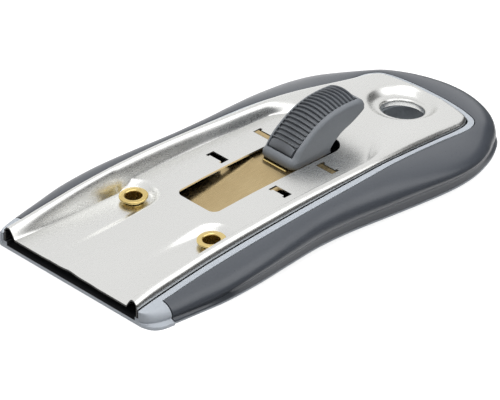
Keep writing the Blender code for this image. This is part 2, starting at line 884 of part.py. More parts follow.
def make_carriage(material, carrier):
    """Flat tray with two side arms, a narrow tail and long slots for the eyelet posts."""
    front = tray_front()
    wide_rear = tray_wide_rear()
    tail_rear = wide_rear + tail_length
    arm_front = spine_rear() - spine_depth
    arm_inner = blade_half_width + slide_gap
    arm_outer = tray_half_width()
    outline = [
        (arm_inner, arm_front), (arm_outer, arm_front), (arm_outer, wide_rear),
        (tail_half_width, wide_rear), (tail_half_width, tail_rear), (-tail_half_width, tail_rear),
        (-tail_half_width, wide_rear), (-arm_outer, wide_rear), (-arm_outer, arm_front),
        (-arm_inner, arm_front), (-arm_inner, front), (arm_inner, front),
    ]
    tray = make_slab("blade_carriage", outline, tray_low(), tray_top(), material, carrier)
    sink = tray_low() + tray_thickness / 2
    outline = rectangle(-pedestal_half_width, pedestal_half_width, front, front + pedestal_length)
    cut(tray, make_slab("cut_pedestal", outline, sink, pedestal_top(), None, carrier), "UNION")
    clearance = post_way_half_width()
    for side, word in ((1, "right"), (-1, "left")):
        x0 = side * (arm_inner + fine_gap)
        x1 = side * arm_outer
        arm = make_slab("cut_arm_" + word, rectangle(min(x0, x1), max(x0, x1), arm_front, wide_rear),
                        sink, tray_top() + arm_height, None, carrier)
        cut(tray, arm, "UNION")
        middle = side * eyelet_across
        outline = rectangle(middle - clearance, middle + clearance, eyelet_along - clearance,
                            eyelet_along + lock_travel + clearance)
        cut(tray, make_slab("cut_post_way_" + word, outline, 0.0, edge_height, None, carrier))
    for along in (clamp_rivet_along(), spring_rivet_along()):
        for side in (1, -1):
            name = "cut_rivet_way"
            centre = (side * rivet_across, along)
            low = tray_low() + tray_thickness / 2
            hole = make_disc(name, rivet_radius + fine_gap, low, edge_height, centre, None, carrier, 20)
            cut(tray, hole)
    return tray


def clamp_rear():
    return spine_rear() - spine_depth - lip_width - slide_gap + clamp_length


def clamp_rivet_along():
    return clamp_rear() - rivet_head_radius - fine_gap


def leaf_front():
    return clamp_rear() + slide_gap


def spring_rivet_along():
    return leaf_front() + leaf_root_length / 2


def sheet_low():
    """Underside of the clamp and of the leaf's root, above the pedestal."""
    return pedestal_top() + slide_gap


def make_clamp(material, carrier):
    """Flat keeper over the blade's back, with a lip bent down in front of it."""
    rear = clamp_rear()
    front = rear - clamp_length
    low = sheet_low()
    high = low + clamp_thickness
    lip_low = blade_low() + blade_thickness + fine_gap
    outline = [(front, lip_low), (front + lip_width, lip_low), (front + lip_width, low),
               (rear, low), (rear, high), (front, high)]
    clamp = make_side_slab("blade_clamp", outline, pedestal_half_width, material, carrier)
    for side in (1, -1):
        centre = (side * rivet_across, clamp_rivet_along())
        hole = make_disc("cut_clamp_hole", rivet_radius + fine_gap, 0.0, edge_height,
                         centre, None, carrier, 20)
        cut(clamp, hole)
    return clamp


def make_rivet(name, side, along, sheet_top, material, carrier):
    low = tray_low() + tray_thickness / 2 + fine_gap
    head_low = sheet_top + fine_gap
    head_top = head_low + rivet_head_height
    line = [(rivet_radius, low), (rivet_radius, head_low), (rivet_head_radius, head_low),
            (rivet_head_radius - fine_gap, head_top)]
    return make_turned(name, line, (side * rivet_across, along), material, carrier)


def make_rivets(material, carrier):
    for side, word in ((1, "right"), (-1, "left")):
        make_rivet("clamp_rivet_" + word, side, clamp_rivet_along(), sheet_low() + clamp_thickness,
                   material, carrier)
        make_rivet("spring_rivet_" + word, side, spring_rivet_along(), sheet_low() + leaf_thickness,
                   material, carrier)


# Leaf and slider

def leaf_flat_front():
    return leaf_front() + leaf_root_length + leaf_ramp_length


def leaf_flat_top():
    return sheet_low() + leaf_thickness + leaf_rise


def ear_middle():
    return rear_slot_front_edge() + slot_width / 2


def make_leaf(material, carrier):
    """Bronze leaf: riveted root, long ramp, flat with side wings and two upright ears."""
    front = leaf_front()
    root_rear = front + leaf_root_length
    flat_front = leaf_flat_front()
    rear = flat_front + leaf_flat_length
    low = sheet_low()
    high = low + leaf_rise
    side_line = [(front, low), (root_rear, low), (flat_front, high), (rear, high)]
    outline = side_line + [(y, z + leaf_thickness) for y, z in side_line[::-1]]
    leaf = make_side_slab("lock_spring", outline, leaf_half_width, material, carrier)
    middle = ear_middle()
    inner = slot_inner + 2 * fine_gap
    outer = slot_outer - 2 * fine_gap
    top = platform_level(middle) - ear_below_plate
    for side, word in ((1, "right"), (-1, "left")):
        x0 = side * (leaf_half_width - slide_gap)
        x1 = side * outer
        wing = rectangle(min(x0, x1), max(x0, x1), middle - ear_wing_depth / 2, middle + ear_wing_depth / 2)
        cut(leaf, make_slab("cut_wing_" + word, wing, high, high + leaf_thickness, None, carrier), "UNION")
        x0 = side * inner
        ear = rectangle(min(x0, x1), max(x0, x1), middle - ear_depth / 2, middle + ear_depth / 2)
        low_ear = high + leaf_thickness / 2
        cut(leaf, make_slab("cut_ear_" + word, ear, low_ear, top, None, carrier), "UNION")
        centre = (side * rivet_across, spring_rivet_along())
        hole = make_disc("cut_leaf_hole", rivet_radius + fine_gap, 0.0, edge_height,
                         centre, None, carrier, 20)
        cut(leaf, hole)
        x0 = side * leaf_root_half_width
        x1 = side * (leaf_half_width + overrun)
        notch = rectangle(min(x0, x1), max(x0, x1), front - overrun, root_rear)
        cut(leaf, make_slab("cut_root_" + word, notch, 0.0, edge_height, None, carrier))
    room = slide_gap
    window = rectangle(-stem_half_width - room, stem_half_width + room,
                       middle - stem_half_length - room, middle + stem_half_length + room)
    cut(leaf, make_slab("cut_stem_way", window, 0.0, edge_height, None, carrier))
    return leaf


def slider_place(share_y, share_z):
    front = ear_middle() - slider_ahead_of_ear
    return front + share_y * slider_length, leaf_flat_top() + slide_gap + share_z * slider_height


def pad_line(steps):
    line = curve_through([slider_place(*share) for share in pad_line_shares], steps)
    return [Vector((point[0], point[1])) for point in line]


def shifted(line, distance):
    """The line moved square to itself, upward when distance is positive."""
    moved = []
    for at, point in enumerate(line):
        before = line[max(at - 1, 0)]
        after = line[min(at + 1, len(line) - 1)]
        along = (after - before).normalized()
        moved.append(point + Vector((-along.y, along.x)) * distance)
    return moved


def make_slider(material, carrier):
    """Thumb slider: humped body with a recess for the pad and a stem through the leaf."""
    top = shifted(pad_line(2), -pad_stand)
    front = [Vector(slider_place(*share)) for share in slider_front_shares]
    rear = [Vector(slider_place(*share)) for share in slider_rear_shares]
    outline = [tuple(point) for point in front + top + rear]
    body = make_side_slab("slider_body", outline, slider_half_width, material, carrier)
    round_edges(body, slider_edge)
    line = pad_line(3)
    outer = shifted(line, overrun)
    inner = shifted(line, -pad_depth - slide_gap)
    lead = (line[0] - line[1]).normalized() * slide_gap
    tail = (line[-1] - line[-2]).normalized() * slide_gap
    inner[0] = inner[0] + lead
    outer[0] = outer[0] + lead
    inner[-1] = inner[-1] + tail
    outer[-1] = outer[-1] + tail
    recess = [tuple(point) for point in inner + outer[::-1]]
    cut(body, make_side_slab("cut_recess", recess, pad_half_width + slide_gap, None, carrier))
    middle = ear_middle()
    low = leaf_flat_top() - leaf_thickness - stem_below_leaf
    stem_outline = rectangle(-stem_half_width, stem_half_width, middle - stem_half_length,
                             middle + stem_half_length)
    stem_top = leaf_flat_top() + overrun
    cut(body, make_slab("cut_stem", stem_outline, low, stem_top, None, carrier), "UNION")
    depth = low + screw_length
    hole = make_disc("cut_screw_hole", screw_radius + fine_gap, low - overrun, depth,
                     (0.0, middle), None, carrier, 20)
    cut(body, hole)
    return body


def walk(line, distance):
    """Point and upward normal at a distance along a line drawn from the side."""
    for start, end in zip(line, line[1:]):
        length = (end - start).length
        if distance <= length:
            break
        distance -= length
    along = (end - start).normalized()
    return start + along * min(distance, length), Vector((-along.y, along.x))


def make_pad(material, carrier):
    """Crowned pad: a smooth front band, then cross ribs, set in the slider's top."""
    line = pad_line(12)
    length = sum((end - start).length for start, end in zip(line, line[1:]))
    pitch = (length - band_length) / rib_count
    stops = [(0.0, 0.0), (band_length, 0.0)]
    for rib in range(rib_count):
        for part, deep in rib_shares:
            stops.append((band_length + pitch * (rib + part), rib_depth * deep))
    stops.append((length, 0.0))
    rows = []
    for distance, deep in stops:
        point, normal = walk(line, distance)
        rows.append((point - normal * deep, ease(distance, 0.0, band_length)))
    for step in range(rib_count + 1):
        point, normal = walk(line, length * (1 - step / rib_count))
        rows.append((point - normal * pad_depth, 0.0))
    points = []
    faces = []
    for column in crown_column_shares:
        crown = pad_crown * (1 - column * column)
        points += [(pad_half_width * column, place.x, place.y + crown * share) for place, share in rows]
    count = len(rows)
    for at in range(len(crown_column_shares) - 1):
        for step in range(count):
            low = at * count + step
            next_low = at * count + (step + 1) % count
            faces.append((low, low + count, next_low + count, next_low))
    faces.append(tuple(range(count)))
    faces.append(tuple(range(len(points) - count, len(points))))
    return make_object("slider_pad", points, faces, material, carrier)


def make_retainer(plate_material, screw_material, carrier):
    """Plate under the leaf, and the screw that pulls it to the slider's stem."""
    middle = ear_middle()
    stem_low = leaf_flat_top() - leaf_thickness - stem_below_leaf
    high = stem_low - slide_gap
    low = high - retainer_thickness
    outline = rectangle(-retainer_half_width, retainer_half_width, middle - retainer_half_length,
                        middle + retainer_half_length)
    plate = make_slab("slider_retainer", outline, low, high, plate_material, carrier)
    hole = make_disc("cut_retainer_hole", screw_radius + fine_gap, 0.0, edge_height,
                     (0.0, middle), None, carrier, 20)
    cut(plate, hole)
    head_top = low - fine_gap
    head_low = head_top - screw_head_height
    tip = stem_low + screw_length - slide_gap
    line = [(screw_head_radius - fine_gap, head_low), (screw_head_radius, head_top),
            (screw_radius, head_top), (screw_radius, tip)]
    make_turned("slider_screw", line, (0.0, middle), screw_material, carrier)


def main():
    clear_scene()
    steel = make_material("satin_steel", (0.68, 0.68, 0.67), 0.3, 1.0)
    blade_steel = make_material("blade_steel", (0.55, 0.56, 0.57), 0.25, 1.0)
    zinc = make_material("zinc_steel", (0.5, 0.5, 0.5), 0.4, 1.0)
    brass = make_material("brass", (0.83, 0.63, 0.25), 0.25, 1.0)
    bronze = make_material("bronze", (0.48, 0.38, 0.22), 0.4, 1.0)
    light_plastic = make_material("light_plastic", (0.42, 0.47, 0.54), 0.45)
    soft_plastic = make_material("soft_plastic", (0.07, 0.075, 0.085), 0.6)
    slider_plastic = make_material("slider_plastic", (0.20, 0.22, 0.25), 0.5)
    pad_plastic = make_material("pad_plastic", (0.08, 0.09, 0.10), 0.6)
    tray_plastic = make_material("tray_plastic", (0.05, 0.05, 0.055), 0.5)

    body = make_frame("body_frame", None, (0.0, 0.0, 0.0))
    body.location = (0.0, -body_length() / 2, 0.0)
    body.rotation_euler = (tilt, 0.0, 0.0)
    slide_axis = make_frame("carriage_slide_axis", body, (0.0, tray_front(), tray_low()))
    press_place = (0.0, spring_rivet_along(), sheet_low())
    press_axis = make_frame("button_press_axis", slide_axis, press_place)

    make_base(light_plastic, body)
    make_grip(soft_plastic, body)
    make_plate(steel, body)
    for side, word in ((1, "right"), (-1, "left")):
        make_eyelet(side, word, brass, body)
    make_blade(blade_steel, zinc, slide_axis)
    make_carriage(tray_plastic, slide_axis)
    make_clamp(zinc, slide_axis)
    make_rivets(zinc, slide_axis)
    make_leaf(bronze, press_axis)
    make_slider(slider_plastic, press_axis)
    make_pad(pad_plastic, press_axis)
    make_retainer(zinc, zinc, press_axis)


main()
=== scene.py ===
from math import cos, exp, hypot, pi, radians, sin, sqrt, tan

import bmesh
import bpy
from mathutils import Matrix, Vector, kdtree


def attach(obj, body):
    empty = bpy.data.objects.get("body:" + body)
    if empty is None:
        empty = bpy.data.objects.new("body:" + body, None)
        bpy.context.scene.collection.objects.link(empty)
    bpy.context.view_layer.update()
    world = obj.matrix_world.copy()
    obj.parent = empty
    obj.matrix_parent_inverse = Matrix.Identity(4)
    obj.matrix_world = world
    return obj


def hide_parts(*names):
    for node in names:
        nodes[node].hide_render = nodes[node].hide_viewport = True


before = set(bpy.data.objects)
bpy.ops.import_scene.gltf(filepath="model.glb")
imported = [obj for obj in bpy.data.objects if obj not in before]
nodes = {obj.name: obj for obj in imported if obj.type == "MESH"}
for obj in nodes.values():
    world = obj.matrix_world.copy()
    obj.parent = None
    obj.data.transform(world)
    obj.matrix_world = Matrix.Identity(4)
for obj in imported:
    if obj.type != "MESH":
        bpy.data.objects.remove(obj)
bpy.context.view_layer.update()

mm = 0.001

# The pieces are laid out in millimetres in the steel plate's own frame: X across, +Y to the
# rear, Z up from its front bottom edge. The whole body lies tilted a little on the floor.
lay = {"tilt": 1.5, "middle": 70.7}
toWorld = Matrix.Translation((0, -lay["middle"] * mm, 0)) @ Matrix.Rotation(radians(lay["tilt"]), 4, "X")


# ---------- curves and tables

def smoothValue(table, share):
    last = len(table) - 1
    if share <= table[0][0]:
        return table[0][1]
    if share >= table[last][0]:
        return table[last][1]
    at = 0
    while table[at + 1][0] < share:
        at += 1
    x0, y0 = table[at]
    x1, y1 = table[at + 1]
    xa, ya = table[max(at - 1, 0)]
    xb, yb = table[min(at + 2, last)]
    span = x1 - x0
    slope0 = (y1 - ya) / (x1 - xa)
    slope1 = (yb - y0) / (xb - x0)
    t = (share - x0) / span
    bend = t * (1 - t) * (1 - t) * span * slope0 + t * t * (t - 1) * span * slope1
    return y0 + (y1 - y0) * t * t * (3 - 2 * t) + bend


def ease(value, low, high):
    t = min(max((value - low) / (high - low), 0.0), 1.0)
    return t * t * (3 - 2 * t)


def curveThrough(points, steps):
    points = [Vector(point) for point in points]
    result = []
    for at in range(len(points) - 1):
        p1, p2 = points[at], points[at + 1]
        p0 = points[at - 1] if at else p1 * 2 - p2
        p3 = points[at + 2] if at + 2 < len(points) else p2 * 2 - p1
        for step in range(steps):
            t = step / steps
            bend = p0 * 2 - p1 * 5 + p2 * 4 - p3
            twist = p1 * 3 - p0 - p2 * 3 + p3
            result.append((p1 * 2 + (p2 - p0) * t + bend * t * t + twist * t ** 3) / 2)
    result.append(points[-1])
    return result


def shifted(line, distance):
    moved = []
    for at, point in enumerate(line):
        along = (line[min(at + 1, len(line) - 1)] - line[max(at - 1, 0)]).normalized()
        moved.append(point + Vector((-along.y, along.x)) * distance)
    return moved


# ---------- meshes

def linked(name, data):
    thing = bpy.data.objects.new(name, data)
    bpy.context.collection.objects.link(thing)
    return thing


def pieceFrom(name, points, faces, materials, smooth=40, indices=None):
    mesh = bpy.data.meshes.new(name)
    mesh.from_pydata([toWorld @ (Vector(point) * mm) for point in points], [], faces)
    for material in materials:
        mesh.materials.append(material)
    if indices:
        mesh.polygons.foreach_set("material_index", indices)
    work = bmesh.new()
    work.from_mesh(mesh)
    bmesh.ops.recalc_face_normals(work, faces=work.faces)
    if work.calc_volume(signed=True) < 0:
        bmesh.ops.reverse_faces(work, faces=work.faces)
    work.to_mesh(mesh)
    work.free()
    piece = linked(name, mesh)
    softenShading(piece, smooth)
    return piece


def softenShading(piece, smooth):
    piece.data.shade_smooth()
    piece.data.set_sharp_from_angle(angle=radians(smooth))


def bake(piece, smooth=40):
    # turns the object with its modifiers into a plain mesh
    evaluated = piece.evaluated_get(bpy.context.evaluated_depsgraph_get())
    mesh = bpy.data.meshes.new_from_object(evaluated)
    piece.modifiers.clear()
    piece.data = mesh
    softenShading(piece, smooth)


def cutAway(piece, cutters, smooth=40):
    # one exact Boolean with all the cutters, which are then removed
    for cutter in cutters[1:]:
        joinInto(cutters[0], cutter)
    modifier = piece.modifiers.new("cut", "BOOLEAN")
    modifier.operation = "DIFFERENCE"
    modifier.solver = "EXACT"
    modifier.object = cutters[0]
    bake(piece, smooth)
    bpy.data.objects.remove(cutters[0], do_unlink=True)


def joinInto(piece, other):
    work = bmesh.new()
    work.from_mesh(piece.data)
    work.from_mesh(other.data)
    work.to_mesh(piece.data)
    work.free()
    bpy.data.objects.remove(other, do_unlink=True)


def between(name, first, second, materials, smooth=40):
    # closed solid between two outlines of the same number of points
    count = len(first)
    faces = [tuple(range(count)), tuple(range(count, 2 * count))]
    for at in range(count):
        after = (at + 1) % count
        faces.append((at, after, count + after, count + at))
    return pieceFrom(name, first + second, faces, materials, smooth)


def prism(name, outline, low, high, materials=()):
    return between(name, [(x, y, low) for x, y in outline], [(x, y, high) for x, y in outline], materials)


def sideSlab(name, outline, halfWidth, materials=(), smooth=40):
    first = [(-halfWidth, y, z) for y, z in outline]
    second = [(halfWidth, y, z) for y, z in outline]
    return between(name, first, second, materials, smooth)


def lathe(name, profile, centre, materials, steps=72, slope=0.0, smooth=35):
    # a closed profile of radius and height, whose heights fall to the rear by the slope
    points, faces = [], []
    count = len(profile)
    for step in range(steps):
        angle = 2 * pi * (step + 0.5) / steps
        for radius, height in profile:
            along = radius * sin(angle)
            points.append((centre[0] + radius * cos(angle), centre[1] + along, height - along * slope))
    for step in range(steps):
        base, after = step * count, ((step + 1) % steps) * count
        for at in range(count):
            up = (at + 1) % count
            faces.append((base + at, after + at, after + up, base + up))
    return pieceFrom(name, points, faces, materials, smooth)


def disc(name, radius, low, high, centre, steps=72):
    outline = []
    for step in range(steps):
        angle = 2 * pi * (step + 0.5) / steps
        outline.append((centre[0] + radius * cos(angle), centre[1] + radius * sin(angle)))
    return prism(name, outline, low, high)


def arc(centre, radius, start, end, steps):
    return [(centre[0] + radius * cos(radians(start + (end - start) * step / steps)),
             centre[1] + radius * sin(radians(start + (end - start) * step / steps)))
            for step in range(steps + 1)]


# ---------- finishes

def finish(name, look):
    # colour clouds, fine grain in roughness and bump, and long scuffs, all on Object coordinates
    material = bpy.data.materials.new(name)
    material.use_nodes = True
    tree = material.node_tree
    shader = tree.nodes["Principled BSDF"]
    shader.inputs["Metallic"].default_value = look.get("metallic", 0.0)
    shader.inputs["IOR"].default_value = look.get("ior", 1.5)
    coords = tree.nodes.new("ShaderNodeTexCoord")

    def noise(scale, detail, stretch=(1, 1, 1)):
        mapping = tree.nodes.new("ShaderNodeMapping")
        mapping.inputs["Scale"].default_value = stretch
        tree.links.new(coords.outputs["Object"], mapping.inputs["Vector"])
        texture = tree.nodes.new("ShaderNodeTexNoise")
        texture.inputs["Scale"].default_value = scale
        texture.inputs["Detail"].default_value = detail
        texture.inputs["Roughness"].default_value = 0.6
        tree.links.new(mapping.outputs["Vector"], texture.inputs["Vector"])
        return texture.outputs["Fac"]

    def ranged(value, low, high, fromLow=0.3, fromHigh=0.7):
        node = tree.nodes.new("ShaderNodeMapRange")
        node.inputs["From Min"].default_value = fromLow
        node.inputs["From Max"].default_value = fromHigh
        node.inputs["To Min"].default_value = low
        node.inputs["To Max"].default_value = high
        tree.links.new(value, node.inputs["Value"])
        return node.outputs["Result"]

    clouds = noise(look.get("cloudScale", 60), 3)
    grain = noise(look["grainScale"], 4, look.get("grainStretch", (1, 1, 1)))
    blend = tree.nodes.new("ShaderNodeMix")
    blend.data_type = "RGBA"
    vary = look.get("vary", 0.06)
    colour = look["colour"]
    tint = look.get("tint", (1, 1, 1))
    blend.inputs["A"].default_value = (*[c * (1 - vary) * t for c, t in zip(colour, tint)], 1)
    blend.inputs["B"].default_value = (*[c * (1 + vary) for c in colour], 1)
    tree.links.new(ranged(clouds, 0, 1), blend.inputs["Factor"])
    speck = tree.nodes.new("ShaderNodeMix")
    speck.data_type = "RGBA"
    speck.blend_type = "MULTIPLY"
    speck.inputs["Factor"].default_value = 1.0
    shade = tree.nodes.new("ShaderNodeCombineColor")
    fleck = ranged(grain, 1 - look.get("speckle", 0.05), 1 + look.get("speckle", 0.05))
    for channel in ("Red", "Green", "Blue"):
        tree.links.new(fleck, shade.inputs[channel])
    tree.links.new(blend.outputs["Result"], speck.inputs["A"])
    tree.links.new(shade.outputs["Color"], speck.inputs["B"])
    tree.links.new(speck.outputs["Result"], shader.inputs["Base Color"])

    scuffs = noise(look.get("scuffScale", 400), 2, look.get("scuffStretch", (1, 1, 1)))
    rough = tree.nodes.new("ShaderNodeMath")
    rough.operation = "ADD"
    tree.links.new(ranged(grain, *look["roughness"]), rough.inputs[0])
    tree.links.new(ranged(scuffs, 0, look.get("scuff", 0.04), 0.45, 0.75), rough.inputs[1])
    tree.links.new(rough.outputs["Value"], shader.inputs["Roughness"])

    bump = tree.nodes.new("ShaderNodeBump")
    bump.inputs["Strength"].default_value = look.get("bump", 0.3)
    bump.inputs["Distance"].default_value = look.get("bumpDepth", 0.02) * mm
    tree.links.new(grain, bump.inputs["Height"])
    tree.links.new(bump.outputs["Normal"], shader.inputs["Normal"])
    return material


finishes = {
    "satinSteel": {"colour": (0.72, 0.72, 0.705), "metallic": 1.0, "roughness": (0.25, 0.30), "vary": 0.012,
                   "cloudScale": 30, "grainScale": 3500, "grainStretch": (1, 0.25, 1), "speckle": 0.01,
                   "scuffScale": 700, "scuffStretch": (1, 0.05, 1), "scuff": 0.02, "bump": 0.03,
                   "bumpDepth": 0.003},
    # the plate's own steel made darker for its outer edge wall: a painted dark reflection
    "paintedReflectionSteelWall": {"colour": (0.26, 0.265, 0.275), "metallic": 1.0, "roughness": (0.30, 0.42),
                  "grainScale": 2500, "vary": 0.05, "bump": 0.1, "bumpDepth": 0.01},
    "lightShell": {"colour": (0.44, 0.475, 0.52), "roughness": (0.32, 0.42), "grainScale": 1500, "vary": 0.03,
                   "speckle": 0.03, "bump": 0.35, "bumpDepth": 0.02},
    # near-black copy of the shell's light plastic for its inside faces: painted shade inside the body
    "paintedShadeInside": {"colour": (0.016, 0.017, 0.02), "roughness": (0.45, 0.6), "grainScale": 1200, "vary": 0.1,
                   "bump": 0.3},
    "softGrip": {"colour": (0.060, 0.068, 0.082), "ior": 1.55, "roughness": (0.27, 0.34),
                 "grainScale": 2200, "vary": 0.05, "speckle": 0.08, "bump": 0.4, "bumpDepth": 0.02,
                 "cloudScale": 40},
    "brass": {"colour": (0.70, 0.55, 0.24), "metallic": 1.0, "roughness": (0.20, 0.28), "grainScale": 2500,
              "vary": 0.05, "tint": (1, 0.97, 0.88), "bump": 0.08, "bumpDepth": 0.005},
    "bronzeLeaf": {"colour": (0.49, 0.38, 0.205), "metallic": 1.0, "roughness": (0.22, 0.30),
                   "grainScale": 1500, "grainStretch": (1, 0.2, 1), "vary": 0.08,
                   "tint": (1, 0.96, 0.9), "bump": 0.1, "bumpDepth": 0.008},
    "sliderPlastic": {"colour": (0.185, 0.20, 0.22), "roughness": (0.42, 0.55), "grainScale": 1700,
                      "vary": 0.04, "speckle": 0.05, "bump": 0.4, "bumpDepth": 0.02},
    "padPlastic": {"colour": (0.12, 0.13, 0.145), "roughness": (0.36, 0.46), "grainScale": 2000, "vary": 0.06,
                   "speckle": 0.08, "bump": 0.5, "bumpDepth": 0.03},
    "trayNylon": {"colour": (0.03, 0.031, 0.034), "roughness": (0.4, 0.55), "grainScale": 1500, "vary": 0.08,
                  "bump": 0.3},
    "zincPlate": {"colour": (0.52, 0.52, 0.50), "metallic": 1.0, "roughness": (0.32, 0.5), "grainScale": 800,
                  "vary": 0.1, "tint": (1, 0.98, 0.9), "bump": 0.2},
    "bladeSteel": {"colour": (0.50, 0.51, 0.53), "metallic": 1.0, "roughness": (0.14, 0.24),
                   "grainScale": 1400, "grainStretch": (1, 0.05, 1), "vary": 0.03, "bump": 0.06},
}
looks = {name: finish(name, look) for name, look in finishes.items()}
print("finishes made:", len(looks))


# ---------- camera, floor and light

cameraView = {
    "place": (0.80880, -0.78886, 0.65949),
    "azimuth": 46.011,     # degrees round from the blade end
    "elevation": 30.364,
    "roll": 1.264,
    "lens": 360.0,
    "sensor": 36.0,
}
studio = {
    "floorSize": 3.0,
    "floorGrey": 0.5,
    "floorGlow": 0.7,
    "skyForDiffuse": 0.28,
    "lamps": {
        # place, size in metres, power in watts, seen in mirror images; each points at the scraper
        "rearSoftbox": ((0.80, 0.54, 0.88), (0.9, 0.9), 3.0, True),
        "frontSoftbox": ((0.29, -0.34, 1.22), (0.9, 0.9), 4.3, True),
        "topSoftbox": ((0.05, -0.05, 1.15), (1.3, 1.3), 10.5, False),
    },
    # dark screen and ground card, seen only in reflections: azimuth from +X, low and high
    # edge as elevations seen from the scraper, all in degrees
    "screenDistance": 0.9,
    "groundStart": (0.042, 0.078),
    "screenGrey": 0.05,
    "screen": ((-125, 0.5, 6), (-105, 0.5, 16), (-75, 0.5, 22), (-40, 0.5, 24), (-10, 0.5, 20), (12, 0.5, 16),
               (30, 0.5, 17), (45, 0.5, 20), (56, 0.5, 24), (64, 0.5, 34), (74, 0.5, 38), (86, 0.5, 38),
               (96, 0.5, 28), (106, 0.5, 14), (116, 0.5, 5)),
}


def aim(thing, place, target=(0, 0, 0)):
    turn = (Vector(target) - Vector(place)).to_track_quat("-Z", "Y").to_matrix().to_4x4()
    thing.matrix_world = Matrix.Translation(place) @ turn


def makeCamera(view):
    data = bpy.data.cameras.new("photoCamera")
    data.lens = view["lens"]
    data.sensor_width = view["sensor"]
    data.clip_end = 10.0
    camera = linked("photoCamera", data)
    turn = Matrix.Rotation(radians(view["azimuth"]), 4, "Z")
    tip = Matrix.Rotation(radians(90 - view["elevation"]), 4, "X")
    roll = Matrix.Rotation(radians(view["roll"]), 4, "Z")
    camera.matrix_world = Matrix.Translation(view["place"]) @ turn @ tip @ roll
    bpy.context.scene.camera = camera


def plainSurface(name, grey, roughness):
    material = bpy.data.materials.new(name)
    material.use_nodes = True
    shader = material.node_tree.nodes["Principled BSDF"]
    shader.inputs["Base Color"].default_value = (grey, grey, grey, 1)
    shader.inputs["Roughness"].default_value = roughness
    return material


def card(name, size, material):
    mesh = bpy.data.meshes.new(name)
    x, y = size[0] / 2, size[1] / 2
    mesh.from_pydata([(-x, -y, 0), (x, -y, 0), (x, y, 0), (-x, y, 0)], [], [(0, 1, 2, 3)])
    mesh.materials.append(material)
    linked(name, mesh)


def makeScreen(look):
    away = look["screenDistance"]
    points = []
    across, along = look["groundStart"]
    for azimuth, low, high in look["screen"]:
        x, y = cos(radians(azimuth)), sin(radians(azimuth))
        near = 1 / hypot(x / across, y / along)
        points += [(x * near, y * near, 0.001), (x * away, y * away, away * tan(radians(low))),
                   (x * away, y * away, away * tan(radians(high)))]
    faces = []
    for at in range(0, len(points) - 3, 3):
        faces += [(at, at + 1, at + 4, at + 3), (at + 1, at + 2, at + 5, at + 4)]
    mesh = bpy.data.meshes.new("darkScreen")
    mesh.from_pydata(points, [], faces)
    mesh.materials.append(plainSurface("screenGrey", look["screenGrey"], 0.9))
    screen = linked("darkScreen", mesh)
    screen.visible_camera = False
    screen.visible_diffuse = False
    screen.visible_shadow = False


def seenDirectly(tree):
    # 1 for the camera, for mirror images and through clear parts, otherwise 0
    path = tree.nodes.new("ShaderNodeLightPath")
    seen = path.outputs["Is Camera Ray"]
    for output in ("Is Glossy Ray", "Is Transmission Ray"):
        both = tree.nodes.new("ShaderNodeMath")
        both.operation = "MAXIMUM"
        tree.links.new(seen, both.inputs[0])
        tree.links.new(path.outputs[output], both.inputs[1])
        seen = both.outputs["Value"]
    return seen


def makeStudio(look):
    white = plainSurface("floorWhite", look["floorGrey"], 0.8)
    shader = white.node_tree.nodes["Principled BSDF"]
    shader.inputs["Emission Color"].default_value = (1, 1, 1, 1)
    seen = seenDirectly(white.node_tree)
    glow = white.node_tree.nodes.new("ShaderNodeMath")
    glow.operation = "MULTIPLY"
    glow.inputs[1].default_value = look["floorGlow"]
    white.node_tree.links.new(seen, glow.inputs[0])
    white.node_tree.links.new(glow.outputs["Value"], shader.inputs["Emission Strength"])
    card("floor", (look["floorSize"], look["floorSize"]), white)
    makeScreen(look)
    for name, (place, size, power, mirrored) in look["lamps"].items():
        data = bpy.data.lights.new(name, "AREA")
        data.energy = power
        data.shape = "RECTANGLE"
        data.size, data.size_y = size
        lamp = linked(name, data)
        lamp.visible_glossy = mirrored
        aim(lamp, place)
    world = bpy.context.scene.world or bpy.data.worlds.new("studio")
    bpy.context.scene.world = world
    world.use_nodes = True
    tree = world.node_tree
    back = tree.nodes["Background"]
    back.inputs["Color"].default_value = (1, 1, 1, 1)
    seen = seenDirectly(tree)
    level = tree.nodes.new("ShaderNodeMapRange")
    level.inputs["To Min"].default_value = look["skyForDiffuse"]
    level.inputs["To Max"].default_value = 1.0
    tree.links.new(seen, level.inputs["Value"])
    tree.links.new(level.outputs["Result"], back.inputs["Strength"])


makeCamera(cameraView)
makeStudio(studio)
bpy.context.scene.view_settings.view_transform = "Standard"
print("camera and studio made")


# ---------- outline and heights shared by the plate, the shell and the grip

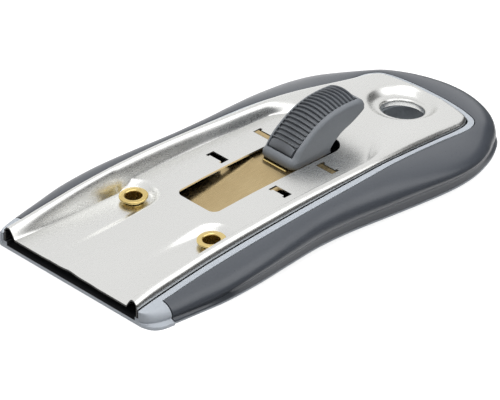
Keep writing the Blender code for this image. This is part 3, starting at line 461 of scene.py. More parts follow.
plateSizes = {
    "halfWidth": 24.9, "length": 128.8, "sheet": 0.5,
    "edgeHeight": 9.0, "wallAbove": 0.15, "wallBelow": 1.9,
    "beadRise": 2.65, "crestInset": 1.8, "beadSlope": 2.4, "beadStart": 0.7,
    "platformHeight": 7.4, "valleyHeight": 4.05, "valleyFoot": 4.4, "valleyShoulder": 7.1,
    "humpWidth": 2.2, "humpHeight": 0.35, "humpLength": 34.0,
    "troughEnd": 86.0, "sagLength": 18.0, "sagHalfWidth": 6.0,
    "holeFromRear": 10.3, "holeRadius": 5.9, "dishRadius": 10.75, "rimHeight": 4.4,
    "rimWidth": 0.9, "rimSlope": 0.13, "collarDepth": 1.5, "lipRound": 0.8, "lipOverlap": 0.02,
    "lipBend": 0.4, "lipDraft": 0.05, "eyeletHole": 2.9, "cutSpan": (0.5, 16.0),
    "windowHalf": 7.35, "windowFront": 43.0, "windowRear": 91.0, "windowCorners": (2.3, 5.0),
    "slotWidth": 2.0, "slotInner": 8.9, "slotOuter": 14.9, "slotRear": 63.4, "travel": 16.4,
    "hookLength": 2.65, "hookWidth": 0.9,
    "edgeHeights": (
        (0.0, 0.478), (0.062, 0.578), (0.124, 0.700), (0.194, 0.811), (0.272, 0.900),
        (0.349, 0.958), (0.427, 0.988), (0.505, 1.000), (0.582, 1.003), (0.640, 1.000),
        (0.699, 0.975), (0.776, 0.860), (0.854, 0.705), (0.932, 0.560), (1.0, 0.500)),
    "beadRises": (
        (0.0, 0.90), (0.062, 1.05), (0.124, 1.0), (0.194, 1.0), (0.272, 0.967), (0.349, 0.917),
        (0.427, 0.883), (0.505, 0.80), (0.582, 0.68), (0.699, 0.57), (0.776, 0.60),
        (0.854, 0.60), (0.932, 0.56), (1.0, 0.46)),
    "platform": (
        (0.0, 0.568), (0.08, 0.576), (0.155, 0.640), (0.272, 0.811), (0.388, 0.932),
        (0.489, 0.986), (0.62, 1.0), (0.70, 1.0), (0.777, 1.01), (0.815, 0.985), (0.85, 0.94),
        (0.92, 0.855), (1.0, 0.78)),
}
outlineShape = {
    "reach": 11.0, "strip": 1.9, "bulge": 2.0, "steps": 8, "cornerKnots": 3, "sideKnots": 17,
    # plate edge across and along, reach across and along, strip, bulge, depth of the widest line
    "knots": (
        (1.018, 0.000, 0.100, 0.000, 0.50, -0.10, 0.60), (1.014, 0.009, 0.338, -0.022, 1.00, -0.45, 0.60),
        (1.007, 0.025, 0.502, -0.018, 1.00, -0.62, 0.60), (0.998, 0.055, 0.577, 0.000, 1.00, -0.38, 0.60),
        (0.992, 0.124, 0.641, 0.000, 1.00, 0.00, 0.60), (0.986, 0.194, 0.686, 0.000, 1.00, 0.36, 0.53),
        (0.978, 0.280, 0.632, 0.045, 1.00, 0.70, 0.47), (0.964, 0.373, 0.523, 0.045, 1.00, 0.90, 0.47),
        (0.942, 0.466, 0.450, 0.045, 1.00, 0.98, 0.48), (0.918, 0.559, 0.505, 0.000, 1.00, 0.96, 0.50),
        (0.894, 0.652, 0.646, 0.000, 0.92, 0.92, 0.51), (0.855, 0.745, 0.820, 0.045, 0.72, 0.90, 0.48),
        (0.807, 0.823, 0.960, 0.090, 0.66, 0.82, 0.46), (0.767, 0.885, 0.973, 0.136, 0.70, 0.56, 0.46),
        (0.743, 0.932, 0.827, 0.236, 0.85, 0.12, 0.52), (0.719, 0.960, 0.609, 0.464, 1.05, -0.28, 0.63),
        (0.655, 0.980, 0.364, 0.709, 1.05, -0.18, 0.70), (0.482, 0.9915, 0.182, 0.900, 0.98, 0.32, 0.68),
        (0.241, 0.9985, 0.091, 0.973, 0.92, 0.66, 0.60), (0.000, 1.000, 0.000, 1.000, 0.90, 0.80, 0.57)),
}
p = plateSizes
holeAlong = p["length"] - p["holeFromRear"]


def ground(y):
    return -y * tan(radians(lay["tilt"]))


def edgeLevel(y):
    return p["edgeHeight"] * smoothValue(p["edgeHeights"], y / p["length"])


def crestLevel(y):
    return edgeLevel(y) + p["beadRise"] * smoothValue(p["beadRises"], y / p["length"])


def platformLevel(y):
    return p["platformHeight"] * smoothValue(p["platform"], y / p["length"])


def rimLevel(y):
    return p["rimHeight"] - (y - holeAlong) * p["rimSlope"]


eyeletPlace = {"across": 14.8, "along": 35.15}


def floorLevel(x, y):
    # platform with two valleys that end in round pockets, and the small hump in the middle
    middle = platformLevel(y)
    side = abs(x)
    if y <= eyeletPlace["along"]:
        away = max(eyeletPlace["across"] - side, 0.0)
    else:
        away = hypot(side - eyeletPlace["across"], y - eyeletPlace["along"])
    lift = ease(away, p["valleyFoot"], p["valleyShoulder"])
    low = min(p["valleyHeight"], middle)
    fade = max(1 - y / p["humpLength"], 0.0)
    return low + (middle - low) * lift + p["humpHeight"] * fade * exp(-(side / p["humpWidth"]) ** 2)


def plateLevel(x, y, halfWidth, inset):
    side = abs(x)
    edge = edgeLevel(y) + p["wallAbove"]
    crest = crestLevel(y)
    crestSide = halfWidth - p["crestInset"]
    footSide = crestSide - p["beadSlope"]
    footSide += (p["sagHalfWidth"] - footSide) * ease(y, p["troughEnd"], p["troughEnd"] + p["sagLength"])
    inner = floorLevel(x, y)
    climb = min(max((side - footSide) / (crestSide - footSide), 0.0), 1.0)
    level = inner + (crest - inner) * ease(climb ** p["beadStart"], 0.0, 1.0)
    roundShare = min(inset / p["crestInset"], 1.0)
    level = edge + (level - edge) * sqrt(max(1 - (1 - roundShare) ** 2, 0.0))
    fromHole = hypot(x, y - holeAlong)
    dish = 1 - ease(fromHole, p["holeRadius"] + p["rimWidth"], p["dishRadius"])
    return level + (rimLevel(y) - level) * dish


def outlineKnots():
    knots = []
    for across, along, reachX, reachY, strip, bulge, widest in outlineShape["knots"]:
        edge = Vector((across * p["halfWidth"], along * p["length"]))
        reach = Vector((reachX, reachY)) * outlineShape["reach"]
        rest = Vector((strip * outlineShape["strip"], bulge * outlineShape["bulge"], widest))
        knots.append((edge, reach, rest))
    return knots


def outlineStations(firstKnot=0):
    knots = outlineKnots()
    mirrored = [(Vector((-e.x, e.y)), Vector((-r.x, r.y)), rest) for e, r, rest in knots]
    ring = knots + mirrored[-2::-1]
    steps = outlineShape["steps"]
    lines = [curveThrough([knot[part] for knot in ring], steps) for part in range(3)]
    stations = [(e, r.normalized(), r.length, *rest) for e, r, rest in zip(*lines)]
    skip = firstKnot * steps
    return stations[skip:len(stations) - skip]


def halfWidthAt(y):
    return smoothValue([(e.y, e.x) for e, r, rest in outlineKnots()[:outlineShape["sideKnots"]]], y)


cornerAlong = outlineKnots()[outlineShape["sideKnots"] - 1][0].y
rearTable = [(e.x, e.y) for e, r, rest in outlineKnots()[outlineShape["sideKnots"] - 2:][::-1]]
cornerHalf = halfWidthAt(cornerAlong)


def rearLine(share):
    return smoothValue(rearTable, abs(share) * cornerHalf)


# ---------- steel plate

# spacing of the plate's mesh, set so that a column falls on the foot of the bead
plateGrid = {"innerStep": 0.6, "slopeSteps": 21, "roundSteps": 10, "rowStep": 0.55, "rimBand": 6.0}


def gridInsets(grid):
    # distances in from an edge: fine over the rounded bead, coarser further in
    crest, roundSteps, slopeSteps = p["crestInset"], grid["roundSteps"], grid["slopeSteps"]
    rounds = [crest * (1 - cos(pi / 2 * step / roundSteps)) for step in range(roundSteps)]
    slope = grid["rimBand"] - crest
    return rounds + [crest + slope * step / slopeSteps for step in range(slopeSteps)]


def makePlate(grid, sizes):
    insets = gridInsets(grid)
    innerCount = round((sizes["halfWidth"] - grid["rimBand"]) / grid["innerStep"])
    rowsBefore = round((cornerAlong - grid["rimBand"]) / grid["rowStep"])
    rows = [(cornerAlong - grid["rimBand"]) * row / rowsBefore for row in range(rowsBefore)]
    rows += [cornerAlong - inset for inset in [grid["rimBand"], *insets[::-1]]]

    def place(y, column, drawIn):
        # column counts from -1 to 1 across the middle, or holds an inset and its side
        share = y / cornerAlong
        along = (cornerAlong - drawIn) * share
        half = halfWidthAt(along + drawIn * share) - drawIn
        if isinstance(column, tuple):
            across = column[1] * (half - column[0])
        else:
            across = column * (half - grid["rimBand"])
        bow = rearLine(across / half) - cornerAlong
        return across, along + bow * ease(share, 0.75, 1.0)

    middle = [step / innerCount for step in range(-innerCount, innerCount + 1)]
    columns = [(inset, -1) for inset in insets] + middle + [(inset, 1) for inset in insets[::-1]]
    wide = len(columns)
    last = len(rows) - 1
    flat = [place(y, column, 0.0) for y in rows for column in columns]
    border = [row * wide + wide - 1 for row in range(last + 1)]
    border += [last * wide + at for at in range(wide - 2, -1, -1)]
    border += [row * wide for row in range(last - 1, -1, -1)]
    edge = []
    for a, b in zip(border, border[1:]):
        for step in range(4):
            edge.append(Vector((*flat[a], 0)).lerp(Vector((*flat[b], 0)), step / 4))
    tree = kdtree.KDTree(len(edge))
    for at, point in enumerate(edge):
        tree.insert(point, at)
    tree.balance()
    onBorder = set(border)
    top, under = [], []
    for at, (x, y) in enumerate(flat):
        half = halfWidthAt(min(y, cornerAlong))
        inset = 0.0 if at in onBorder else tree.find(Vector((x, y, 0)))[2]
        top.append((x, y, plateLevel(x, y, half, inset)))
        ux, uy = place(rows[at // wide], columns[at % wide], sizes["sheet"])
        uInset = tree.find(Vector((ux, uy, 0)))[2]
        under.append((ux, uy, plateLevel(ux, uy, half, uInset) - sizes["sheet"]))
    outerRim = [(top[at][0], top[at][1], edgeLevel(top[at][1]) - sizes["wallBelow"]) for at in border]
    innerRim = [(under[at][0], under[at][1], edgeLevel(top[at][1]) - sizes["wallBelow"]) for at in border]
    grown = len(top)
    faces, indices = [], []
    for row in range(last):
        for at in range(wide - 1):
            low = row * wide + at
            faces.append((low, low + 1, low + wide + 1, low + wide))
            faces.append((grown + low, grown + low + wide, grown + low + wide + 1, grown + low + 1))
            indices += [0, 0]
    first, second = 2 * grown, 2 * grown + len(border)
    # the outer edge wall and its bottom edge take material 1, the darker steel that paints in a dark
    # reflection
    for at in range(len(border) - 1):
        a, b = border[at], border[at + 1]
        faces.append((a, b, first + at + 1, first + at))
        faces.append((first + at, first + at + 1, second + at + 1, second + at))
        faces.append((second + at, second + at + 1, grown + b, grown + a))
        indices += [1, 1, 0]
    end = len(border) - 1
    for at in range(wide - 1):
        faces.append((at, grown + at, grown + at + 1, at + 1))
        indices.append(0)
    faces.append((border[0], first, second, grown + border[0]))
    faces.append((border[end], grown + border[end], second + end, first + end))
    indices += [0, 0]
    materials = [looks["satinSteel"], looks["paintedReflectionSteelWall"]]
    plate = pieceFrom("topPlate", top + under + outerRim + innerRim, faces, materials, 40, indices)

    low, high = sizes["cutSpan"]
    front, rear = sizes["windowCorners"]
    half = sizes["windowHalf"]
    window = arc((half - front, sizes["windowFront"] + front), front, -90, 0, 10)
    window += arc((half - rear, sizes["windowRear"] - rear), rear, 0, 90, 16)
    window += [(-x, y) for x, y in window[::-1]]
    cutters = [prism("cutWindow", window, low, high)]
    rearSlotEdge = sizes["slotRear"] - sizes["slotWidth"] + sizes["travel"]
    for side in (1, -1):
        for edgeY, way in ((sizes["slotRear"], -1), (rearSlotEdge, 1)):
            cutters.append(prism("cutSlot", slotOutline(side, edgeY, way, sizes), low, high))
        centre = (side * eyeletPlace["across"], eyeletPlace["along"])
        cutters.append(disc("cutEyelet", sizes["eyeletHole"], low, high, centre, 48))
    holeCut = sizes["holeRadius"] + sizes["lipRound"] - sizes["lipOverlap"]
    cutters.append(disc("cutHole", holeCut, low, high, (0, holeAlong), 96))
    cutAway(plate, cutters)
    joinInto(plate, makeLip(sizes))
    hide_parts("top_plate")
    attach(plate, "housing")


def slotOutline(side, edgeY, way, sizes):
    far = edgeY + way * sizes["slotWidth"]
    tip = edgeY + way * sizes["hookLength"]
    inner, outer = sizes["slotInner"], sizes["slotOuter"]
    hook = sizes["hookWidth"]
    line = [(inner, edgeY), (outer, edgeY), (outer, tip), (outer - hook, tip), (outer - hook, far),
            (inner + hook, far), (inner + hook, tip), (inner, tip)]
    return [(side * x, y) for x, y in line]


def makeLip(sizes):
    # rolled inner edge of the hanging hole, down to the bottom of its collar
    r, level, roll = sizes["holeRadius"], sizes["rimHeight"], sizes["lipRound"]
    low = level - sizes["sheet"] - sizes["collarDepth"]
    profile = [(r + roll, level)]
    for angle in range(10, 91, 10):
        a = radians(angle)
        profile.append((r + roll - roll * sin(a), level - roll + roll * cos(a)))
    profile += [(r, level - roll - sizes["lipBend"]), (r + sizes["lipDraft"], low),
                (r + sizes["sheet"], low), (r + sizes["sheet"], level - roll),
                (r + roll, level - sizes["sheet"])]
    return lathe("lip", profile, (0, holeAlong), [looks["satinSteel"]], 120, sizes["rimSlope"])


makePlate(plateGrid, plateSizes)
print("steel plate made")


# ---------- moulded shell and soft grip

gripShape = {
    "recess": 0.6, "stripFall": 0.25, "topFall": 0.05, "gap": 0.3, "footHeight": 0.5, "front": 7.4,
    "shoulderSteps": 14, "skirtSteps": 10,
    "bulgeLeft": ((0.0, 1.0), (0.20, 0.80), (0.40, 0.55), (0.60, 0.30), (0.80, 0.10), (1.0, 0.0)),
    "recessShares": ((0.0, 0.0), (0.20, 0.45), (0.40, 1.0), (0.60, 1.0), (0.80, 0.45), (1.0, 0.0)),
}
shellShape = {
    "footInset": 0.2, "lipOut": 0.35, "lipHigh": 0.95, "ledge": 1.0, "floor": 1.0, "seat": 0.3,
    "chamfer": 0.15, "split": 0.05,
    "bore": 2.9, "boreRound": 0.1, "postRadius": 3.8, "postRound": 0.2, "postTop": 3.05,
    "counterRadius": 4.9, "counterRoof": 0.55, "counterCutLow": -4,
    "holeRadius": 6.75, "holeCutSpan": (-8, 3), "tubeWall": 0.9, "tubeTop": 1.35, "tubeOuterRound": 0.2,
    "railHalf": 0.6, "railAcross": 12.85, "railFront": 58.15, "railLength": 31.0, "railHeight": 1.4,
}


def sideSection(station):
    # outer line of the body's side: strip edge, rounded shoulder, then the recessed skirt
    edge, out, reach, strip, bulge, widest = station
    g = gripShape
    top = edgeLevel(edge.y) - g["stripFall"]
    low = ground((edge + out * reach).y)
    bottom = low + g["footHeight"] + g["gap"]
    drop = (top - low) * widest
    shape = []
    for step in range(g["shoulderSteps"] + 1):
        angle = pi / 2 * step / g["shoulderSteps"]
        shape.append((strip + (reach + bulge - strip) * sin(angle), top - drop * (1 - cos(angle))))
    for step in range(1, g["skirtSteps"] + 1):
        share = step / g["skirtSteps"]
        swell = bulge * smoothValue(g["bulgeLeft"], share)
        away = reach + swell - g["recess"] * smoothValue(g["recessShares"], share)
        shape.append((away, top - drop + (bottom - top + drop) * share))
    return [(edge.x + out.x * away, edge.y + out.y * away, height) for away, height in shape]


def shellSection(station, solidCorner, s):
    edge, out, reach, strip = station[:4]
    outer = edge + out * (reach + (s["lipOut"] if solidCorner else -s["footInset"]))
    low = ground(outer.y)
    level = edgeLevel(edge.y)
    foot = low + gripShape["footHeight"]
    top = low + s["lipHigh"] if solidCorner else foot
    inner = outer - out * s["chamfer"]
    section = [(outer.x, outer.y, low), (outer.x, outer.y, top - s["chamfer"]), (inner.x, inner.y, top)]
    side = sideSection(station)
    if solidCorner:
        section += side[::-1]
    else:
        wall = edge + out * strip
        top, bottom = side[0][2], side[-1][2]
        stretch = (top - foot) / (top - bottom)
        section += [(wall.x, wall.y, foot + stretch * (z - bottom)) for x, y, z in side[::-1]]
    groove = edge + out * s["seat"]
    ledge = edge - out * s["ledge"]
    ledgeHeight = level - p["wallBelow"] - s["seat"]
    section += [(groove.x, groove.y, level), (groove.x, groove.y, ledgeHeight),
                (ledge.x, ledge.y, ledgeHeight), (ledge.x, ledge.y, s["floor"])]
    return section


def makeShell(s):
    stations = outlineStations()
    corner = outlineShape["cornerKnots"] * outlineShape["steps"]
    sections = []
    for at, station in enumerate(stations):
        fromFront = min(at, len(stations) - 1 - at)
        if fromFront != corner:
            sections.append(shellSection(station, fromFront < corner, s))
            continue
        near = (station[0] - Vector((0, s["split"])), *station[1:])
        far = (station[0] + Vector((0, s["split"])), *station[1:])
        pair = [shellSection(near, True, s), shellSection(far, False, s)]
        sections += pair if at == corner else pair[::-1]
    count, total = len(sections[0]), len(sections)
    points = [point for section in sections for point in section]
    for at in [*range(count), *range(len(points) - count, len(points))]:
        points[at] = (points[at][0], 0.0, points[at][2])
    faces, indices = [], []
    for at in range(total - 1):
        for step in range(count - 1):
            low = at * count + step
            faces.append((low, low + count, low + count + 1, low + 1))
            # the groove, ledge and inner wall faces take material 1, painted shade on the light shell
            indices.append(1 if step >= count - 4 else 0)
    last = (total - 1) * count
    faces.append(tuple(at * count for at in range(total)))
    faces.append(tuple(at * count + count - 1 for at in range(total)))
    faces.append(tuple(range(count)) + tuple(range(last + count - 1, last - 1, -1)))
    # the inner floor's cap also takes the painted shade
    indices += [0, 1, 0]
    shell = pieceFrom("mouldedShell", points, faces, [looks["lightShell"], looks["paintedShadeInside"]], 32, indices)
    sink = s["floor"] / 2
    cutters = [disc("cutHole", s["holeRadius"], *s["holeCutSpan"], (0, holeAlong), 96)]
    for side in (1, -1):
        centre = (side * eyeletPlace["across"], eyeletPlace["along"])
        roof = s["counterRoof"]
        cutters.append(disc("cutCounter", s["counterRadius"], s["counterCutLow"], roof, centre, 48))
    cutAway(shell, cutters, 32)
    for side in (1, -1):
        centre = (side * eyeletPlace["across"], eyeletPlace["along"])
        bore, radius, top = s["bore"], s["postRadius"], s["postTop"]
        post = [(bore, sink), (radius, sink), (radius, top - s["postRound"]), (radius - s["postRound"], top),
                (bore + s["boreRound"], top), (bore, top - s["boreRound"])]
        joinInto(shell, lathe("post", post, centre, [looks["lightShell"], looks["paintedShadeInside"]], 48))
        x, half = side * s["railAcross"], s["railHalf"]
        front, rear = s["railFront"], s["railFront"] + s["railLength"]
        outline = [(x - half, front), (x + half, front), (x + half, rear), (x - half, rear)]
        joinInto(shell, prism("rail", outline, sink, s["floor"] + s["railHeight"], [looks["lightShell"]]))
    inner, outer = s["holeRadius"], s["holeRadius"] + s["tubeWall"]
    low = ground(holeAlong - outer) + s["split"]
    top, chamfer = s["tubeTop"], s["chamfer"]
    tube = [(inner, low), (outer, low), (outer, top), (outer - s["tubeOuterRound"], top + chamfer),
            (inner + chamfer, top + chamfer), (inner, top)]
    joinInto(shell, lathe("tube", tube, (0, holeAlong), [looks["lightShell"], looks["paintedShadeInside"]], 96))
    softenShading(shell, 32)
    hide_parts("base_body")
    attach(shell, "housing")


def makeGrip(g):
    stations = outlineStations(outlineShape["cornerKnots"])
    sections = []
    for at, station in enumerate(stations):
        if at in (0, len(stations) - 1):
            station = (Vector((station[0].x, g["front"])), *station[1:])
        edge, out, reach, strip = station[:4]
        outer = sideSection(station)
        wall = edge + out * (strip + g["gap"])
        inner = [(wall.x, wall.y, outer[-1][2]), (wall.x, wall.y, outer[0][2] - g["topFall"])]
        sections.append(outer[1:] + inner)
    count = len(sections[0])
    points = [point for section in sections for point in section]
    faces = []
    for at in range(len(sections) - 1):
        for step in range(count):
            low, up = at * count + step, at * count + (step + 1) % count
            faces.append((low, low + count, up + count, up))
    faces.append(tuple(range(count)))
    faces.append(tuple(range(len(points) - count, len(points))))
    grip = pieceFrom("softGrip", points, faces, [looks["softGrip"]], 50)
    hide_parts("soft_grip")
    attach(grip, "housing")


makeShell(shellShape)
makeGrip(gripShape)
print("shell and grip made")


# ---------- brass eyelets

eyeletShape = {
    "bore": 2.25, "wall": 0.35, "flange": 3.875, "flangeLow": 5.1, "flangeHigh": 5.8, "innerRound": 0.55,
    "rollRadius": 3.4, "rollLow": -0.65, "rollHigh": -0.25, "lean": 0.05,
}


def makeEyelet(side, word, e):
    tube = e["bore"] + e["wall"]
    low, high = e["flangeLow"], e["flangeHigh"]
    bead = (high - low) / 2
    profile = [(e["bore"], e["rollLow"]), (e["rollRadius"], e["rollLow"]), (e["rollRadius"], e["rollHigh"]),
               (tube, e["rollHigh"]), (tube, low)]
    profile += arc((e["flange"] - bead, low + bead), bead, -90, 70, 8)
    bend = e["innerRound"]
    profile += arc((e["bore"] + bend, high - bend), bend, 80, 180, 7)
    eyelet = lathe(word + "Eyelet", profile, (side * eyeletPlace["across"], eyeletPlace["along"]),
                   [looks["brass"]], 72, -e["lean"], 35)
    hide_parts(word + "_eyelet")
    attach(eyelet, "housing")


for side, word in ((1, "right"), (-1, "left")):
    makeEyelet(side, word, eyeletShape)
print("eyelets made")


# ---------- thumb slider with its ribbed pad

sliderShape = {
    "front": 71.6, "base": 6.45, "length": 27.4, "height": 12.1, "halfWidth": 6.0,
    "stemHalfWidth": 3.5, "stemHalfLength": 4.3, "stemMiddle": 78.8, "stemLow": 5.65,
    "padHalf": 4.6, "padDepth": 1.5, "padStand": 0.1, "recessGap": 0.22,
    "padLine": ((0.053, 0.277), (0.113, 0.413), (0.212, 0.591), (0.358, 0.798), (0.485, 0.913),
                (0.617, 0.979), (0.763, 1.0), (0.912, 0.985)),
    "chin": ((0.022, 0.0), (0.006, 0.040), (0.0, 0.10), (0.006, 0.175), (0.024, 0.235)),
    "tail": ((0.964, 0.921), (0.985, 0.839), (0.989, 0.756), (0.974, 0.665), (0.839, 0.492),
             (0.690, 0.360), (0.599, 0.219), (0.547, 0.103), (0.527, 0.0)),
    # how round the sides turn into the chin, the rim beside the pad and the tail
    "chinRound": 2.0, "rimRound": 1.25, "tailRound": 1.0, "tailEndRound": 0.3, "roundSteps": 7,
    "blendSteps": 7, "recessHigh": 3, "stemInto": 1.5,
    "lipHalf": 4.25, "lipFront": 71.15, "lipDepth": 0.35, "lipLow": 6.1, "lipHigh": 6.42, "lipBend": 0.3,
}
padShape = {
    "bandLength": 2.25, "ribCount": 18, "ribDepth": 0.45, "crown": 1.1, "columns": 16,
    # the band's rows along the pad, how deep its front edge rounds off and how fast that fades
    "bandRows": (0.0, 0.12, 0.35, 0.7, 1.2, 1.7, 2.0), "edgeDepth": 0.35, "edgeFade": 5,
    "bandEndDepth": 0.15, "grooveStep": 0.12, "rearStep": 0.1, "rearDepth": 0.6, "crownSpan": (-0.6, 1.6),
    # the ribs: points on their line, how deep it lies and their section, as shares
    "ribPoints": 60, "ribSink": 0.55, "ribWidth": 0.80, "ribHeight": 1.1,
    # half width along the pad, as shares of its length and of the recess's half width
    "halfWidths": ((0.0, 0.90), (0.12, 0.94), (0.35, 1.0), (0.65, 1.0), (1.0, 0.97)),
}


def sliderPoint(share):
    s = sliderShape
    return Vector((s["front"] + share[0] * s["length"], s["base"] + share[1] * s["height"]))


def padLine(steps):
    line = curveThrough([sliderPoint(share) for share in sliderShape["padLine"]], steps)
    return [Vector(point[:2]) for point in line]


def walk(line, distance):
    for start, end in zip(line, line[1:]):
        length = (end - start).length
        if distance <= length:
            break
        distance -= length
    along = (end - start).normalized()
    return start + along * min(distance, length), along


def inwards(outline):
    # inward direction at each point of a closed line that runs clockwise
    ways = []
    for at, point in enumerate(outline):
        back = (point - outline[at - 1]).normalized()
        ahead = (outline[(at + 1) % len(outline)] - point).normalized()
        mean = (back + ahead).normalized()
        ways.append(Vector((mean.y, -mean.x)) * min(1 / max(mean.dot(back), 0.5), 1.6))
    return ways


def makeSliderBody(s):
    chin = curveThrough([sliderPoint(share) for share in s["chin"]], 4)
    top = shifted(padLine(4), -s["padStand"])
    tail = curveThrough([sliderPoint(share) for share in s["tail"]], 4)
    outline = [Vector(point[:2]) for point in chin + top + tail]
    rounds = [s["chinRound"]] * len(chin) + [s["rimRound"]] * len(top) + [s["tailRound"]] * len(tail)
    for step in range(1, s["blendSteps"]):
        at = len(chin) + step - 1
        rounds[at] = s["chinRound"] + (s["rimRound"] - s["chinRound"]) * step / s["blendSteps"]
    rounds[-1] = rounds[-2] = s["tailEndRound"]
    ways = inwards(outline)
    for at in range(len(chin)):
        ways[at] = Vector((1, 0)).lerp(ways[at], ease(at / len(chin), 0.0, 1.0))
    rings = [(-1, step) for step in range(s["roundSteps"], -1, -1)]
    rings += [(1, step) for step in range(s["roundSteps"] + 1)]
    points, faces = [], []
    for side, step in rings:
        angle = pi / 2 * step / s["roundSteps"]
        for point, way, bend in zip(outline, ways, rounds):
            place = point + way * bend * (1 - cos(angle))
            points.append((side * (s["halfWidth"] - bend + bend * sin(angle)), place.x, place.y))
    count = len(outline)
    for ring in range(len(rings) - 1):
        for at in range(count):
            low, up = ring * count + at, ring * count + (at + 1) % count
            faces.append((low, up, up + count, low + count))
    faces.append(tuple(range(count)))
    faces.append(tuple(range(len(points) - count, len(points))))
    body = pieceFrom("sliderShell", points, faces, [looks["sliderPlastic"]], 40)
    line = padLine(6)
    outer = shifted(line, s["recessHigh"])
    inner = shifted(line, -s["padDepth"] - s["recessGap"])
    lead = (line[0] - line[1]).normalized() * s["recessGap"]
    trail = (line[-1] - line[-2]).normalized() * s["recessGap"]
    for cutLine in (inner, outer):
        cutLine[0] += lead
        cutLine[-1] += trail
    recess = [tuple(point) for point in inner + outer[::-1]]
    cutAway(body, [sideSlab("cutRecess", recess, s["padHalf"] + s["recessGap"])])
    x, y, m = s["stemHalfWidth"], s["stemHalfLength"], s["stemMiddle"]
    stem = [(-x, m - y), (x, m - y), (x, m + y), (-x, m + y)]
    joinInto(body, prism("stem", stem, s["stemLow"], s["base"] + s["stemInto"], [looks["sliderPlastic"]]))
    softenShading(body, 40)
    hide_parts("slider_body")
    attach(body, "slider")


def makeLeafLip(s):
    # turned-up front edge of the opening in the leaf that the slider stands in
    low, high, front, rear = s["lipLow"], s["lipHigh"], s["lipFront"], s["lipFront"] + s["lipDepth"]
    bend = s["lipBend"]
    outline = [(front, low)] + arc((front + bend, high - bend), bend, 180, 90, 5)
    outline += [(rear, high), (rear, low)]
    lip = sideSlab("leafLip", outline, s["lipHalf"], [looks["brass"]], 50)
    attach(lip, "slider")


def ribTree(material):
    # ribs along a line: crowned bars of a rounded section, set square to the line
    tree = bpy.data.node_groups.new("padRibs", "GeometryNodeTree")
    tree.is_modifier = True
    face = tree.interface
    face.new_socket("Line", in_out="INPUT", socket_type="NodeSocketGeometry")
    sockets = {}
    for name, kind in (("Rib Count", "NodeSocketInt"), ("Rib Width", "NodeSocketFloat"),
                       ("Rib Height", "NodeSocketFloat"), ("Half Width", "NodeSocketFloat"),
                       ("Crown", "NodeSocketFloat")):
        sockets[name] = face.new_socket(name, in_out="INPUT", socket_type=kind).identifier
    face.new_socket("Ribs", in_out="OUTPUT", socket_type="NodeSocketGeometry")
    new, link = tree.nodes.new, tree.links.new
    given, done = new("NodeGroupInput"), new("NodeGroupOutput")
    path = new("GeometryNodeMeshToCurve")
    link(given.outputs["Line"], path.inputs["Mesh"])
    spaced = new("GeometryNodeResampleCurve")
    link(path.outputs["Curve"], spaced.inputs["Curve"])
    link(given.outputs["Rib Count"], spaced.inputs["Count"])

    def combine(x=None, y=None, z=None):
        node = new("ShaderNodeCombineXYZ")
        for socket, value in zip("XYZ", (x, y, z)):
            if value is not None:
                link(value, node.inputs[socket])
        return node.outputs["Vector"]

    def scaled(value, factor):
        node = new("ShaderNodeMath")
        node.operation = "MULTIPLY"
        node.inputs[1].default_value = factor
        link(value, node.inputs[0])
        return node.outputs["Value"]

    bow = new("GeometryNodeCurveQuadraticBezier")
    bow.inputs["Resolution"].default_value = 14
    link(combine(scaled(given.outputs["Half Width"], -1)), bow.inputs["Start"])
    link(combine(z=scaled(given.outputs["Crown"], 2)), bow.inputs["Middle"])
    link(combine(given.outputs["Half Width"]), bow.inputs["End"])
    section = new("GeometryNodeCurvePrimitiveCircle")
    section.inputs["Resolution"].default_value = 10
    section.inputs["Radius"].default_value = 0.5
    squash = new("GeometryNodeTransform")
    link(section.outputs["Curve"], squash.inputs["Geometry"])
    link(combine(given.outputs["Rib Height"], given.outputs["Rib Width"]), squash.inputs["Scale"])
    bar = new("GeometryNodeCurveToMesh")
    bar.inputs["Fill Caps"].default_value = True
    link(bow.outputs["Curve"], bar.inputs["Curve"])
    link(squash.outputs["Geometry"], bar.inputs["Profile Curve"])
    tangent = new("GeometryNodeInputTangent")
    turn = new("FunctionNodeAlignRotationToVector")
    turn.axis = "Y"
    turn.pivot_axis = "X"
    link(tangent.outputs["Tangent"], turn.inputs["Vector"])
    width = new("GeometryNodeInputNamedAttribute")
    width.data_type = "FLOAT"
    width.inputs["Name"].default_value = "ribReach"
    sizeBy = combine(width.outputs["Attribute"])
    one = sizeBy.node
    one.inputs["Y"].default_value = 1
    one.inputs["Z"].default_value = 1
    placed = new("GeometryNodeInstanceOnPoints")
    link(spaced.outputs["Curve"], placed.inputs["Points"])
    link(bar.outputs["Mesh"], placed.inputs["Instance"])
    link(turn.outputs["Rotation"], placed.inputs["Rotation"])
    link(sizeBy, placed.inputs["Scale"])
    real = new("GeometryNodeRealizeInstances")
    link(placed.outputs["Instances"], real.inputs["Geometry"])
    paint = new("GeometryNodeSetMaterial")
    paint.inputs["Material"].default_value = material
    link(real.outputs["Geometry"], paint.inputs["Geometry"])
    link(paint.outputs["Geometry"], done.inputs["Ribs"])
    return tree, sockets


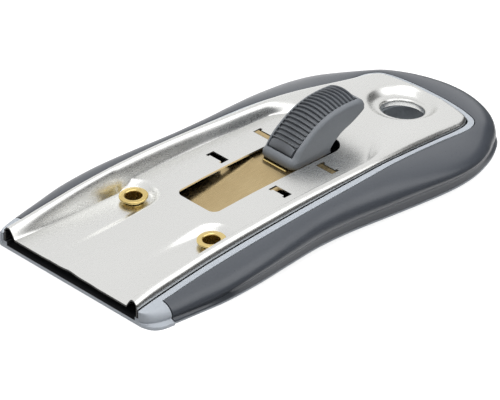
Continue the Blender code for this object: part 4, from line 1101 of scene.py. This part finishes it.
def makePad(s, g):
    line = padLine(12)
    length = sum((end - start).length for start, end in zip(line, line[1:]))
    pitch = (length - g["bandLength"]) / g["ribCount"]

    def halfWidth(distance):
        return s["padHalf"] * smoothValue(g["halfWidths"], distance / length)

    # the pad itself, up to the bottom of the grooves, with its smooth front band
    band, deepest = g["bandLength"], g["ribDepth"]
    rows = [(distance, g["edgeDepth"] * exp(-distance * g["edgeFade"])) for distance in g["bandRows"]]
    rows += [(band, g["bandEndDepth"]), (band + g["grooveStep"], deepest)]
    rows += [(band + pitch * (rib + 0.75), deepest) for rib in range(g["ribCount"] - 1)]
    rows += [(length - g["rearStep"], deepest), (length, g["rearDepth"])]
    points, faces = [], []
    ring = 0
    for distance, deep in rows:
        point, along = walk(line, distance)
        normal = Vector((-along.y, along.x))
        half = halfWidth(distance)
        crown = g["crown"] * ease(distance, *g["crownSpan"])
        section = []
        for step in range(g["columns"] + 1):
            column = 2 * step / g["columns"] - 1
            place = point - normal * deep + Vector((0, crown * (1 - column * column)))
            section.append((half * column, place.x, place.y))
        low = point - normal * s["padDepth"]
        section += [(half, low.x, low.y), (-half, low.x, low.y)]
        points += section
        ring = len(section)
    for at in range(len(rows) - 1):
        for step in range(ring):
            low, up = at * ring + step, at * ring + (step + 1) % ring
            faces.append((low, low + ring, up + ring, up))
    faces.append(tuple(range(ring)))
    faces.append(tuple(range(len(points) - ring, len(points))))
    pad = pieceFrom("thumbPad", points, faces, [looks["padPlastic"]], 35)

    # the ribs: a line of points that the nodes set them on
    mesh = bpy.data.meshes.new("ribLine")
    start = g["bandLength"] + pitch * 0.5
    end = length - pitch * 0.5
    count = g["ribPoints"]
    places, reaches = [], []
    for step in range(count + 1):
        distance = start + (end - start) * step / count
        point, along = walk(line, distance)
        normal = Vector((-along.y, along.x))
        low = point - normal * g["ribDepth"] * g["ribSink"]
        places.append((0, low.x * mm, low.y * mm))
        reaches.append(halfWidth(distance) / s["padHalf"])
    mesh.from_pydata(places, [(at, at + 1) for at in range(count)], [])
    mesh.attributes.new("ribReach", "FLOAT", "POINT").data.foreach_set("value", reaches)
    ribs = linked("ribs", mesh)
    tree, sockets = ribTree(looks["padPlastic"])
    modifier = ribs.modifiers.new("ribs", "NODES")
    modifier.node_group = tree
    for name, value in (("Rib Count", g["ribCount"]), ("Rib Width", pitch * g["ribWidth"] * mm),
                        ("Rib Height", g["ribDepth"] * g["ribHeight"] * mm),
                        ("Half Width", s["padHalf"] * mm), ("Crown", g["crown"] * mm)):
        modifier[sockets[name]] = value
    bake(ribs, 50)
    ribs.data.transform(toWorld)
    joinInto(pad, ribs)
    softenShading(pad, 40)
    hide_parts("slider_pad")
    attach(pad, "slider")


makeSliderBody(sliderShape)
makeLeafLip(sliderShape)
makePad(sliderShape, padShape)
print("slider and pad made")


# ---------- finishes on the CAD pieces that stay

stayingFinishes = {
    "lock_spring": "bronzeLeaf", "razor_blade": "bladeSteel", "blade_spine": "zincPlate",
    "blade_carriage": "trayNylon", "blade_clamp": "zincPlate", "slider_retainer": "zincPlate",
    "slider_screw": "zincPlate", "left_eyelet_washer": "brass", "right_eyelet_washer": "brass",
    "clamp_rivet_left": "zincPlate", "clamp_rivet_right": "zincPlate",
    "spring_rivet_left": "zincPlate", "spring_rivet_right": "zincPlate",
}
for name, look in stayingFinishes.items():
    slots = nodes[name].data.materials
    slots.clear()
    slots.append(looks[look])
print("finishes set on", len(stayingFinishes), "pieces")
